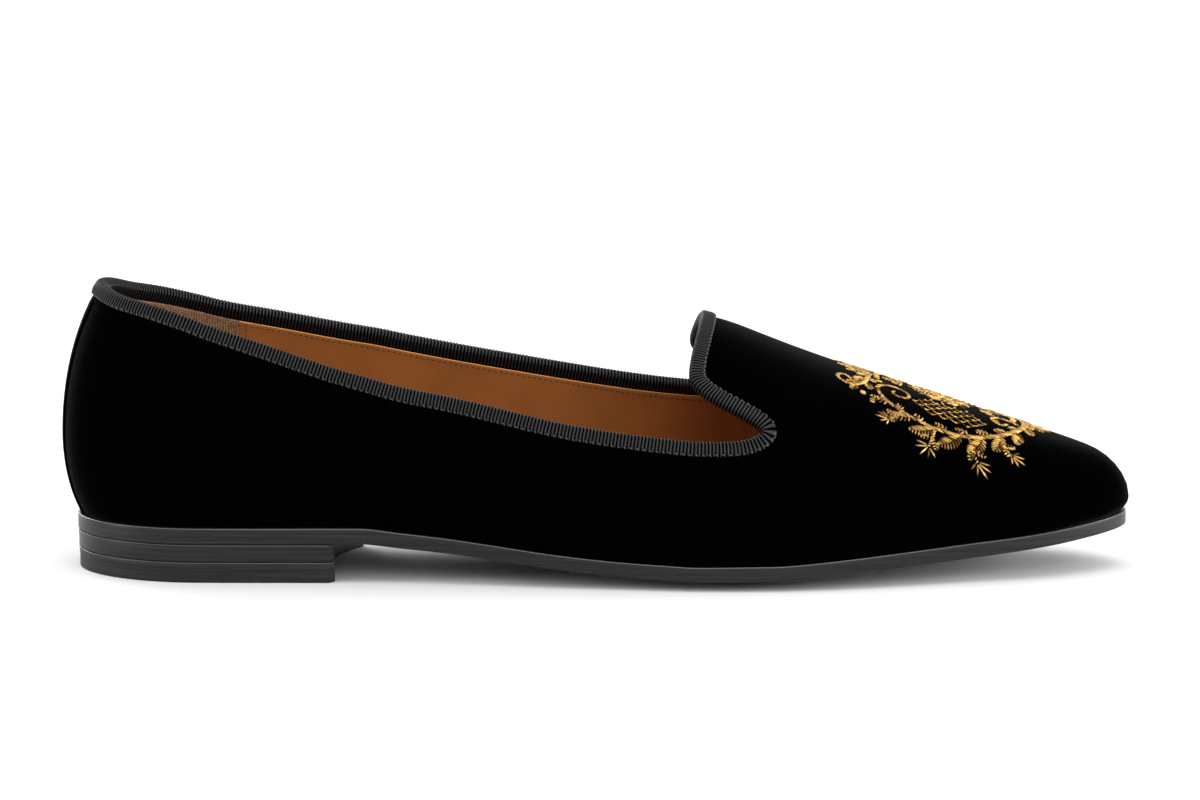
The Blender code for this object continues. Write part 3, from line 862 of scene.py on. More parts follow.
def thread_material(name, colour, roughness=0.6):
    """Plain twisted sewing thread."""
    look, tree, shader = start_material(name, Roughness=roughness, Sheen_Weight=0.2)
    fibre = noise_node(tree, 5000.0, 2.0)
    tone = mix_node(tree, fibre, shade(colour, 0.4), shade(colour, 1.7))
    feed_shader(tree, shader, Base_Color=tone)
    add_bump(tree, shader, fibre, 0.4, 0.0001)
    return look


def upward_tilt(tree):
    """How far the surface faces up: 1 on top, 0 on a wall, negative underneath."""
    return parts_of(tree, add_node(tree, "ShaderNodeNewGeometry").outputs["Normal"])["Z"]


def painted_edge_highlight(tree, tint, highlight_colour):
    """The tint, changed to a lighter colour on rounded edges that face up: a painted highlight."""
    # Painted highlight: lighter only where the smooth normal tilts up between 0.3 and 0.99.
    stops = ((0.3, 0.0), (0.55, 1.0), (0.95, 1.0), (0.99, 0.0))
    return mix_node(tree, ramp_node(tree, upward_tilt(tree), stops), tint, highlight_colour)


def leather_material(name, colour, scale, roughness, edge=1.0):
    """Vegetable tanned leather with a fine grain, its turned upper edge painted lighter by a factor
    as a highlight.
    """
    look, tree, shader = start_material(name, Specular_IOR_Level=0.35)
    group = effect_group("leather_grain", ("Scale", "Patch Scale"), leather_grain)
    grain = add_node(tree, "ShaderNodeGroup", node_tree=group, Scale=scale, Patch_Scale=45.0)
    tone = ramp_node(tree, grain.outputs["Tone"], ((0.35, 0.0), (0.95, 1.0)))
    tint = mix_node(tree, tone, shade(colour, 0.78), shade(colour, 1.176))
    rough = math_node(tree, "MULTIPLY_ADD", grain.outputs["Tone"], 0.2, roughness - 0.12)
    # Painted highlight: rounded edges that face up are lightened by the edge factor.
    tint = painted_edge_highlight(tree, tint, shade(colour, edge))
    feed_shader(tree, shader, Base_Color=tint, Roughness=rough)
    add_bump(tree, shader, grain.outputs["Height"], 0.3, 0.0001)
    return look


def pocket_material(settings, column, row):
    """Brushed leather with a small woven print, from columns and rows of these sizes in mm."""
    look, tree, shader = start_material(
        "heel_pocket_suede", Specular_IOR_Level=0.2, Roughness=0.85)
    parts = parts_of(tree, attribute_node(tree, "net", "Vector"))
    waves = []
    for axis, size in (("X", column), ("Y", row)):
        turn = math_node(tree, "MULTIPLY", parts[axis], math.pi * size / PRINT_PITCH)
        waves.append(math_node(tree, "ABSOLUTE", math_node(tree, "SINE", turn)))
    fleck = noise_node(tree, 1250.0, 2.0, 0.6)
    height = math_node(
        tree, "MULTIPLY_ADD", fleck, 1.6, math_node(tree, "MULTIPLY", *waves))
    tone = math_node(tree, "MULTIPLY", height, 0.5)
    tone = ramp_node(tree, tone, ((0.4, 0.0), (0.8, 1.0)))
    tint = mix_node(tree, tone, shade(settings.pocket, 0.4), shade(settings.pocket, 1.5))
    # Painted highlight: the pocket's rounded edges that face up are lightened.
    tint = painted_edge_highlight(tree, tint, shade(settings.pocket, 2.4))
    feed_shader(tree, shader, Base_Color=tint)
    add_bump(tree, shader, height, 0.6, 0.0002)
    return look


def sole_material(name, colour, roughness):
    """Black dressed sole leather, painted lighter along its upward-facing rounded edges as a
    highlight.
    """
    look, tree, shader = start_material(name, Specular_IOR_Level=0.2, Coat_Roughness=0.35)
    group = effect_group("edge_streaks", ("Across", "Along"), edge_streaks)
    streaks = add_node(tree, "ShaderNodeGroup", node_tree=group, Across=1500.0, Along=28.0)
    tone = ramp_node(tree, streaks.outputs["Tone"], ((0.45, 0.0), (0.8, 1.0)))
    tint = mix_node(tree, tone, shade(colour, 0.45), shade(colour, 1.7))
    # Painted highlight: rounded edges that face up are lightened, giving each layer's top edge its
    # bright line.
    tint = painted_edge_highlight(tree, tint, shade(colour, 9.0))
    gloss = math_node(tree, "MULTIPLY", upward_tilt(tree), 1.2, clamp=True)
    rough = math_node(tree, "MULTIPLY_ADD", streaks.outputs["Tone"], 0.25, roughness - 0.15)
    feed_shader(tree, shader, Base_Color=tint, Coat_Weight=gloss, Roughness=rough)
    add_bump(tree, shader, streaks.outputs["Height"], 0.45, 0.00015)
    return look


def gold_material(settings):
    """Metal-wrapped embroidery thread in several tones of old gold."""
    look, tree, shader = start_material("gold_thread", Metallic=0.9, Roughness=0.3)
    fibre = noise_node(tree, 4500.0, 2.0)
    tone = math_node(tree, "MULTIPLY_ADD", fibre, 0.5, attribute_node(tree, "tone"))
    tone = math_node(tree, "SUBTRACT", tone, 0.25, clamp=True)
    tint = mix_node(tree, tone, shade(settings.dark), shade(settings.light))
    feed_shader(tree, shader, Base_Color=tint)
    add_bump(tree, shader, fibre, 0.5, 0.0001)
    return look


# The velvet's net: its columns, crowded at the heel, and the steps in and down under the last.
UPPER_COLUMNS = 420
HEEL_CROWDING = 0.75
LASTING_TUCK = ((0.5, 0.3), (1.6, 0.42))
VELVET_WALL = 1.55
# The back strip's rise, how softly it ends, how far the velvet beside it is blended, and how
# far from the back of the heel all this reaches. A crease runs along its edge.
STRIP_RISE = 0.1
STRIP_EDGE = 0.14
STRIP_BLEND = 10.0
STRIP_REGION = 25.0
CREASE_DEPTH = 0.22
CREASE_OFFSET = 0.3
CREASE_WIDTH = 0.25


class SLIPPER_OT_upper(bpy.types.Operator):
    """Builds the velvet upper over its solid, with the seam at the back of the heel"""

    bl_idname = "slipper.upper"
    bl_label = "Velvet upper"

    def execute(self, context):
        settings = context.scene.slipper_upper
        lap = np.arange(UPPER_COLUMNS) / UPPER_COLUMNS
        crowded = HEEL_CROWDING * np.sin(2 * math.pi * lap) / (2 * math.pi)
        ways = EDGE_TOTAL * (lap - crowded)
        net = upper_net(ways, [0.0, 0.8, 1.6, 2.4, 3.2, *shares_left(40)], 12)
        out = directions_of(net, True)
        net = net + out * self.back_strip(net, settings)[..., None]
        inward = np.pad(outline_inward(EDGE_FOOT(ways)), ((0, 0), (0, 1)))
        tucks = [net[-1:] + inward * reach - (0.0, 0.0, fall) for reach, fall in LASTING_TUCK]
        net = np.concatenate([net, *tucks])
        look = velvet_material(settings)
        piece = net_piece("velvet_upper", net, True, look, flip=True)
        add_wall(piece, VELVET_WALL)
        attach(piece, "root")
        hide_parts("upper")
        return {"FINISHED"}

    def back_strip(self, net, settings):
        """How far each place moves out for the strip over the seam at the back of the heel."""
        half = settings.strip_width / MM / 2
        relief = settings.strip_relief / MM
        across = np.abs(net[..., 1] - float(middle_of(0.0)))
        on_strip = 0.5 - 0.5 * np.tanh((across - half) / STRIP_EDGE)
        away = np.clip((across - half) / STRIP_BLEND, 0, 1)
        beside = -(relief - STRIP_RISE) * (1 - away) ** 2 * (1 + 2 * away)
        off = (across - half - CREASE_OFFSET) / CREASE_WIDTH
        crease = -CREASE_DEPTH * np.exp(-(off**2))
        move = STRIP_RISE * on_strip + (beside + crease) * (1 - on_strip)
        # The first rows stay where they are, because the ribbon covers them.
        clear = np.clip((np.arange(len(net)) - 4) / 2, 0, 1)[:, None]
        return np.where(net[..., 0] < STRIP_REGION, move, 0.0) * clear


def lining_net(start, end, count, profile):
    """A sheet inside the upper between two places round the top edge.

    The profile gives its first rows, each as a drop below the top edge and a depth inside it.
    """
    ways = even_ways(np.linspace(start, end, count))
    drops, depths = np.array(profile).T
    net = upper_net(ways, [*sorted(drops), *shares_left(LINING_ROWS)], 6)
    out = directions_of(net, False)
    order = np.argsort(np.argsort(drops, kind="stable"), kind="stable")
    order = np.concatenate([order, np.arange(len(drops), len(net))])
    fall = np.linspace(0, 1, len(net) - len(drops))
    rest = depths[-1] + (LINING_LOW_DEPTH - depths[-1]) * fall * fall * (3 - 2 * fall)
    depth = np.concatenate([depths, rest])
    return net[order] - out[order] * depth[:, None, None]


def length_at_x(x, on_lateral):
    """How far along the top edge the place at x lies."""
    places = EDGE_X(EDGE_WAYS)
    half = len(EDGE_WAYS) // 2
    if on_lateral:
        index = int(np.argmin(np.abs(places[:half] - x)))
    else:
        index = half + int(np.argmin(np.abs(places[half:] - x)))
    return float(EDGE_LENGTHS[index])


# The folded edges of the lining and of the pocket: drop below the top edge, depth inside it.
LINING_FOLD = (
    (3.9, 2.66), (3.1, 2.68), (2.86, 2.71), (2.76, 2.8), (2.78, 2.92), (2.9, 3.01),
    (3.15, 3.04), (3.7, 3.04), (4.4, 3.02), (5.4, 2.97),
)
POCKET_FOLD = (
    (3.6, 2.62), (3.0, 2.64), (2.76, 2.68), (2.7, 2.76), (2.76, 2.84), (3.0, 2.9),
    (3.6, 2.92), (4.4, 2.9),
)
LINING_ROWS = 26
LINING_LOW_DEPTH = 2.15
# The stitches: drop below the top edge, depth inside it, and distance from the lining's end.
STITCH_DROP = 3.65
STITCH_DEPTH = 3.04
POCKET_STITCH_DROPS = np.arange(5.0, 31.5, 1.5)
POCKET_STITCH_DEPTH = 3.0
POCKET_STITCH_INSET = 1.5


class SLIPPER_OT_lining(bpy.types.Operator):
    """Builds the smooth lining, the heel pocket and their stitches"""

    bl_idname = "slipper.lining"
    bl_label = "Leather lining"

    def execute(self, context):
        settings = context.scene.slipper_lining
        reach = settings.pocket_length / MM
        start = length_at_x(reach, True)
        end = length_at_x(reach, False)
        # The lining's turned top edge gets a painted highlight four times as light.
        leather = leather_material("lining_leather", settings.leather, 2300.0, 0.42, edge=4.0)
        net = lining_net(start, end, 300, LINING_FOLD)
        lining = net_piece("leather_lining", net, False, leather)
        overlap = 3.0
        count = 120
        net = lining_net(end - EDGE_LENGTH - overlap, start + overlap, count, POCKET_FOLD)
        column = (start - end + EDGE_LENGTH + 2 * overlap) / (count - 1)
        row = np.linalg.norm(net[20, count // 2] - net[19, count // 2])
        pocket = net_piece("heel_pocket", net, False, pocket_material(settings, column, row))
        thread = thread_material("lining_thread", settings.thread)
        pieces = (
            lining, pocket,
            self.edge_stitches(start, end, settings.stitch_pitch / MM, thread),
            self.pocket_stitches(start, end, thread))
        for piece in pieces:
            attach(piece, "root")
        return {"FINISHED"}

    def edge_stitches(self, start, end, pitch, thread):
        """The row of stitches along the lining's folded edge."""
        count = round((end - start) / pitch)
        ways = even_ways(start + (np.arange(count) + 0.5) * (end - start) / count)
        found, tangent = edge_walk(ways, (STITCH_DROP,))
        place, outward, _ = found[0]
        place = place - outward * STITCH_DEPTH
        return bead_row("lining_stitches", place, tangent, -outward, (1.0, 0.34, 0.3), thread)

    def pocket_stitches(self, start, end, thread):
        """The upright rows of stitches where the lining laps over the heel pocket."""
        rows = []
        for length in (start + POCKET_STITCH_INSET, end - POCKET_STITCH_INSET):
            ways = even_ways(np.array([length - 0.2, length, length + 0.2]))
            net = upper_net(ways, POCKET_STITCH_DROPS, 2)[:len(POCKET_STITCH_DROPS)]
            out = directions_of(net, False)[:, 1]
            line = net[:, 1]
            place = line - out * POCKET_STITCH_DEPTH
            rows.append((place, unit(np.gradient(line, axis=0)), -out))
        places, alongs, outwards = (np.concatenate(part) for part in zip(*rows))
        return bead_row(
            "pocket_stitches", places, alongs, outwards, (1.0, 0.28, 0.26), thread)


# How the ribbon is drawn: places across one rib, and steps of its fold over the edge in degrees.
RIB_SAMPLES = 6
RIBBON_FOLD = (0, 25, 50, 75, 100, 125, 150, 180)


class SLIPPER_OT_ribbon(bpy.types.Operator):
    """Builds the ribbed ribbon over the top edge, and the stitches that hold it"""

    bl_idname = "slipper.ribbon"
    bl_label = "Collar ribbon"

    def execute(self, context):
        settings = context.scene.slipper_ribbon
        ribs = round(EDGE_LENGTH / (settings.rib_pitch / MM))
        count = ribs * RIB_SAMPLES
        ways = even_ways(np.arange(count) * EDGE_LENGTH / count)
        rise = np.abs(np.sin(math.pi * np.arange(count) / RIB_SAMPLES))
        net = self.sections(settings, ways, rise)
        piece = net_piece("collar_ribbon", net, True, ribbon_material(settings))
        self.mark_ribs(piece, net, rise)
        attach(piece, "root")
        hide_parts("collar_binding")
        stitches = self.stitches(settings)
        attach(stitches, "root")
        return {"FINISHED"}

    def sections(self, settings, ways, rise):
        """Rows of the folded ribbon: down outside, over the edge, down inside, and back."""
        relief = (settings.rib_relief / MM) * rise[:, None]
        outside = settings.outside / MM
        inside = settings.inside / MM
        outer = GAP + RIBBON_THICKNESS - 0.08
        far = WALL + GAP + RIBBON_THICKNESS
        outer_drops = (outside, outside - 0.12, outside - 0.4, outside - 1.1, outside - 2.0)
        outer_lifts = ((0.1, 0.0), (0.42, 0.3), (0.62, 0.7), (outer, 1.0), (outer, 1.0))
        inner_drops = (0.9, 1.8, inside - 0.35, inside - 0.08, inside)
        inner_depths = (
            (far, 1.0), (far, 1.0), (far - 0.04, 0.8), (far - 0.16, 0.4), (WALL + 0.05, 0.0))
        found = edge_walk(ways, outer_drops[::-1])[0][::-1]
        rows = [found[0][0] + found[0][1] * 0.02]
        for (place, outward, _), (lift, rib) in zip(found, outer_lifts):
            rows.append(place + outward * (lift + relief * rib))
        edge, outward, down = edge_walk(ways, (0.0,))[0][0]
        centre = edge - outward * (WALL / 2)
        wide = (outer + far) / 2
        shift = (outer - far + WALL) / 2
        for angle in np.radians(RIBBON_FOLD):
            reach = (wide + relief) * math.cos(angle) + shift
            lift = (outer + relief) * math.sin(angle)
            rows.append(centre + outward * reach - down * lift)
        found = edge_walk(ways, inner_drops)[0]
        for (place, normal, _), (depth, rib) in zip(found, inner_depths):
            rows.append(place - normal * (depth + relief * rib))
        for out in (-WALL - 0.1, 0.1):
            rows.append(edge + outward * out - down * 0.1)
        return np.array([*rows, rows[0]])

    def mark_ribs(self, piece, net, rise):
        """Keeps how high each place lies on its rib and how far round the fold, for the colour and
        its painted shade in the rib valleys.
        """
        mesh = piece.data
        spots = np.empty(len(mesh.vertices) * 3)
        mesh.attributes["net"].data.foreach_get("vector", spots)
        columns = np.round(spots[::3]).astype(int) % len(rise)
        rows = np.round(spots[1::3]).astype(int)
        steps = np.linalg.norm(np.diff(net, axis=0), axis=2).mean(axis=1)
        gone = np.concatenate([[0], np.cumsum(steps)])
        for name, values in (("rib", rise[columns]), ("down", gone[rows])):
            layer = mesh.attributes.new(name, "FLOAT", "POINT")
            layer.data.foreach_set("value", values)

    def stitches(self, settings):
        """Small slanted stitches along the ribbon's lower edge outside."""
        count = round(EDGE_LENGTH / (settings.stitch_pitch / MM))
        ways = even_ways(np.arange(count) * EDGE_LENGTH / count)
        found, tangent = edge_walk(ways, (settings.outside / MM - 0.35,))
        place, outward, down = found[0]
        slant = math.radians(35)
        along = tangent * math.cos(slant) + down * math.sin(slant)
        thread = thread_material("ribbon_thread", settings.thread, 0.45)
        place = place + outward * 0.7
        return bead_row("ribbon_stitches", place, along, outward, (1.0, 0.28, 0.26), thread)


def plate_ring(edge_of, share, count, thickness_share, lift, inside=0.0):
    """A ring of a plate on the sole's curve: share 1 is its edge, 0 its middle line."""
    turn = turns(count)
    edge = edge_of(turn, inside)
    spine_x = SPINE_START + (SPINE_END - SPINE_START) * (1 - np.cos(turn)) / 2
    spine = np.column_stack([spine_x, middle_of(spine_x)])
    plan = spine + (edge - spine) * share
    rise = max(0.0, (share - FLAT_SHARE) / (1 - FLAT_SHARE)) ** 2
    x = plan[:, 0]
    z = underside_of(x) + edge_rise_of(x) * rise + thickness_share * thickness_of(x) + lift
    return np.column_stack([plan, z])


def rounding(radius, angles):
    """Steps round an edge: how far each lies inside the side, and off the flat face."""
    bends = np.radians(angles)
    return [(radius * (1 - math.sin(bend)), radius * (1 - math.cos(bend))) for bend in bends]


def rounded_plate(edge_of, count, base_share, lift, top_share, top_lift, radius):
    """Rings of a plate from its middle underneath, round its edge, to its middle on top."""
    shares = (0.0, 0.2, 0.4, 0.55, 0.68, 0.8, 0.9, 0.97)
    corner = rounding(radius, (0, 22.5, 45, 67.5, 90))
    base = [(share, base_share, lift, radius) for share in shares]
    base += [(1.0, base_share, lift + up, inside) for inside, up in corner]
    side = []
    for step in (0.25, 0.5, 0.75):
        part = base_share + (top_share - base_share) * step
        side.append((1.0, part, lift + radius + (top_lift - lift - 2 * radius) * step, 0.0))
    top = [(share, top_share, top_lift, radius) for share in shares]
    top += [(1.0, top_share, top_lift - up, inside) for inside, up in corner]
    return np.array([
        plate_ring(edge_of, share, count, part, up, inside)
        for share, part, up, inside in base + side + top[::-1]])


def heel_ring(z, inside):
    """The heel's outline at a height: round the back of the sole, then a hollow breast."""
    drawn_in = HEEL_TAPER * (1 - z / LIFT_TOP) + HEEL_SETBACK + inside
    lateral_turn = turn_of_foot(BREAST_LATERAL_X, True)
    medial_turn = turn_of_foot(BREAST_MEDIAL_X, False) - 2 * math.pi
    back = sole_outline(np.linspace(medial_turn, lateral_turn, HEEL_STEPS), drawn_in)
    start = back[-1] - (inside, 0.0)
    end = back[0] - (inside, 0.0)
    clear = np.where(back[:, 1] > 0, BREAST_MEDIAL_X, BREAST_LATERAL_X) - BREAST_CORNER
    back = back[back[:, 0] < clear]
    share = np.linspace(0, 1, BREAST_STEPS + 1)[1:-1]
    breast = start + (end - start) * share[:, None]
    breast[:, 0] -= 4 * BREAST_DEPTH * share * (1 - share)
    plan = np.concatenate([back, breast])
    return np.column_stack([plan, np.full(len(plan), z)])


def heel_layer(base, top, radius, neck):
    """Rings of one heel layer with rounded edges, and a narrow neck up to the next layer."""
    middle = np.array([HEEL_MIDDLE_X, 0.0, 0.0])

    def at(z, inside, height):
        ring = heel_ring(height, inside)
        ring[:, 2] = z
        return ring

    def shrunk(ring, share):
        made = middle + (ring - middle) * share
        made[:, 2] = ring[:, 2]
        return made

    corner = rounding(radius, (0, 30, 60, 90))
    side = top - base - 2 * radius
    rings = [at(base + up, inside, base) for inside, up in corner]
    rings += [at(base + radius + side * step, 0.0, base) for step in (0.33, 0.67)]
    rings += [at(top - up, inside, top) for inside, up in corner[::-1]]
    rings += [at(top, neck, top), at(top + GAP, neck, top)]
    below = [shrunk(rings[0], share) for share in (0.0, 0.4, 0.8)]
    above = [shrunk(rings[-1], share) for share in (0.8, 0.4, 0.0)]
    return np.array(below + rings + above)


class SLIPPER_OT_sole(bpy.types.Operator):
    """Builds the sole, the two heel layers and the sock inside"""

    bl_idname = "slipper.sole"
    bl_label = "Sole, heel and sock"

    def execute(self, context):
        settings = context.scene.slipper_sole
        radius = settings.edge_radius / MM
        leather = sole_material("sole_leather", settings.edge, 0.37)
        rubber = sole_material("heel_rubber", settings.rubber, 0.5)
        net = rounded_plate(sole_outline, SOLE_ROUND, 0.0, 0.0, 1.0, 0.0, radius)
        self.add("outsole_dressed", net, leather, "outsole")
        lift = heel_layer(LIFT_BASE, LIFT_TOP, HEEL_EDGE_RADIUS, HEEL_NECK)
        self.add("heel_lift_dressed", lift, leather, "heel_lift")
        top_piece = heel_layer(0.0, TOP_PIECE_HEIGHT, HEEL_EDGE_RADIUS, HEEL_NECK)
        self.add("heel_top_dressed", top_piece, rubber, "heel_top_piece")
        lining = context.scene.slipper_lining
        sock = leather_material("sock_leather", lining.leather, 2000.0, 0.45)
        top = INSOLE_LIFT + INSOLE_THICKNESS
        net = rounded_plate(
            insole_edge, SOCK_ROUND, 1.0, INSOLE_LIFT, 1.0, top, SOCK_EDGE_RADIUS)
        self.add("insole_sock", net, sock, "insole")
        return {"FINISHED"}

    def add(self, name, net, look, node):
        """One closed piece that stands for its node."""
        piece = net_piece(name, net, True, look, sharp=50)
        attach(piece, "root")
        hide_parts(node)
# The design: points of a path, and the pitch and slant of a leaf's stitches.
PATH_SAMPLES = 26
LEAF_PITCH = 0.82
LEAF_LEAN = math.radians(52)


def pointing(angle):
    """The direction in the design that this angle points to."""
    return np.array([math.cos(angle), math.sin(angle)])


class Medallion:
    """Lays stitches of a flower medallion on the vamp.

    Places in the design are (s, t) in millimetres: s runs from the ankle to the toe and t from
    the ridge of the vamp towards the medial side. What lies off the ridge is mirrored.
    """

    def __init__(self, settings):
        self.scale = settings.scale
        self.centre = settings.centre / MM
        self.width = settings.thread / MM
        self.random = np.random.default_rng(SEED)
        self.stitches = []
        # Distances over the ridge, so that the design keeps its lengths on the vamp.
        self.xs = np.linspace(self.centre - 36, min(self.centre + 40, SHOE_LENGTH - 4), 77)
        self.arounds = np.linspace(0.02, math.pi - 0.02, 241)
        self.arcs = []
        for x in self.xs:
            line = last_point(np.full(len(self.arounds), x), self.arounds)
            walked = walk_of(line)
            self.arcs.append(walked - np.interp(math.pi / 2, self.arounds, walked))
        self.arcs = np.array(self.arcs)

    def place(self, s, t):
        """The surface place and outward direction of a place in the design."""
        x = self.centre + s * self.scale
        position = (x - self.xs[0]) / (self.xs[1] - self.xs[0])
        i = int(np.clip(position, 0, len(self.xs) - 2))
        share = position - i
        arc = self.arcs[i] * (1 - share) + self.arcs[i + 1] * share
        around = float(np.interp(t * self.scale, arc, self.arounds))
        _, _, outward = surface_slopes(np.array([x]), np.array([around]))
        return last_point(np.array([x]), np.array([around]))[0], outward[0]

    def stitch(self, start, end, lift=0.0, width=1.0, tone=0.0, mirror=True):
        """Notes one stitch, and its mirror image when it lies off the ridge."""
        self.stitches.append((tuple(start), tuple(end), lift, width, tone))
        if mirror:
            flip = ((start[0], -start[1]), (end[0], -end[1]))
            self.stitches.append((*flip, lift, width, tone))

    def leaf(self, base, angle, length, width, bend=0.0, mirror=True, tone=0.0):
        """A pointed leaf in two rows of slanted stitches that meet on its midrib."""
        rows = max(4, int(length / LEAF_PITCH))
        heading = math.radians(angle)
        place = np.array(base, float)
        for row in range(rows):
            share = (row + 0.4) / rows
            half = max(width / 2 * math.sin(math.pi * share**0.8) ** 0.8, 0.22)
            root = place + pointing(heading) * 0.12
            for side in (-1, 1):
                tip = place + pointing(heading + side * LEAF_LEAN) * half * 1.3
                self.stitch(root, tip, 0.1, 1.0, tone + 0.16 * side, mirror)
            place = place + pointing(heading) * length / rows
            heading += math.radians(bend) / rows

    def path(self, points):
        """A smooth line through these places, in even steps."""
        knots = np.arange(len(points), dtype=float)
        fine = np.linspace(0, knots[-1], PATH_SAMPLES * len(points))
        columns = np.array(points, float).T
        return np.column_stack([even_curve(knots, values)(fine) for values in columns])

    def even_path(self, line, pitch):
        """Places and headings at even steps along a line."""
        walked = walk_of(line)
        count = max(2, int(walked[-1] / pitch))
        wanted = np.linspace(0, walked[-1], count)
        places = np.column_stack([np.interp(wanted, walked, line[:, i]) for i in range(2)])
        headings = np.arctan2(np.gradient(places[:, 1]), np.gradient(places[:, 0]))
        return places, headings

    def stem(self, line, width=1.1, taper=0.5, mirror=True, pitch=0.72, tone=0.05):
        """A rope of short slanted stitches along a line."""
        places, headings = self.even_path(line, pitch)
        for i, (place, heading) in enumerate(zip(places, headings)):
            share = i / (len(places) - 1)
            half = width / 2 * (1 - taper * share)
            reach = pointing(heading + math.radians(38)) * half * 1.5
            self.stitch(place - reach, place + reach, 0.06, 1.0, tone, mirror)

    def leaves_along(self, line, spots):
        """Leaves that grow from a stem: each spot is a share, a side, a length and a width."""
        places, headings = self.even_path(line, 0.4)
        for share, side, length, width in spots:
            i = int(share * (len(places) - 1))
            angle = math.degrees(headings[i]) + side * 48
            self.leaf(places[i], angle, length, width, bend=-side * 42)

    def fan(self, base, angle, spread, count, length):
        """Long satin stitches that spread from one place."""
        for i in range(count):
            share = 2 * i / (count - 1) - 1
            away = pointing(math.radians(angle + share * spread))
            reach = length * (1 - 0.28 * abs(share))
            tone = 0.1 - 0.2 * abs(share)
            self.stitch(base + away * 0.45, base + away * reach, 0.06, 1.15, tone)

    def sprig(self, base, angle, length, bend):
        """A thin stem that bends outwards, with a fan at its end and two leaves on its way."""
        heading = math.radians(angle)
        line = [np.array(base, float)]
        steps = 5
        for _ in range(steps):
            line.append(line[-1] + pointing(heading) * length / 8)
            heading += math.radians(bend) / 2
        self.stem(np.array(line), 0.8, 0.3)
        tip = math.degrees(heading + 1.5 * math.radians(bend))
        self.fan(line[-1], tip, 62, 5, length * 0.42)
        for side in (-1, 1):
            self.leaf(line[3], tip + side * 62, length * 0.34, 1.6, bend=-side * 40)

    def trellis(self, centre, reach, pitch):
        """A rounded field of crossing threads with a knot where they cross."""
        steps = range(-12, 13)

        def inside(s, t):
            return ((s - centre[0]) / reach[0]) ** 2 + ((t - centre[1]) / reach[1]) ** 2 < 1

        for i in steps:
            for j in steps:
                if (i + j) % 2:
                    continue
                s = centre[0] + i * pitch
                t = centre[1] + j * pitch
                if not inside(s, t):
                    continue
                for turn in (-1, 1):
                    if inside(s + pitch, t + turn * pitch):
                        self.stitch((s, t), (s + pitch, t + turn * pitch), -0.05, 0.62, -0.22)
                self.stitch((s - 0.2, t), (s + 0.2, t), 0.16, 0.95, 0.3)

    def berry(self, centre, radius=0.85, mirror=True):
        """A round knot of stitches laid side by side."""
        s = centre[0]
        for off in (-0.5, 0.0, 0.5):
            t = centre[1] + off
            half = math.sqrt(max(radius**2 - off**2, 0.04))
            self.stitch((s - half, t), (s + half, t), 0.14, 1.05, 0.25, mirror)

    def build(self, look):
        """Turns the noted stitches into one piece of raised thread."""
        beads = []
        tones = []
        for start, end, lift, width, tone in self.stitches:
            first, first_out = self.place(*start)
            last, last_out = self.place(*end)
            outward = unit(first_out + last_out)
            length = np.linalg.norm(last - first)
            along = unit(last - first) + self.random.normal(0, 0.06, 3)
            along = unit(along - outward * (along @ outward))
            centre = (first + last) / 2 + outward * (lift + 0.05)
            thick = self.width * width * self.random.uniform(0.88, 1.12)
            beads.append((centre, along, outward, (length + 0.4, thick, thick)))
            tones.append(0.45 + tone + self.random.normal(0, 0.3))
        piece = bead_piece("gold_medallion", beads, look)
        vertices = len(piece.data.vertices) // len(beads)
        layer = piece.data.attributes.new("tone", "FLOAT", "POINT")
        layer.data.foreach_set("value", np.repeat(np.clip(tones, 0, 1), vertices))
        return piece


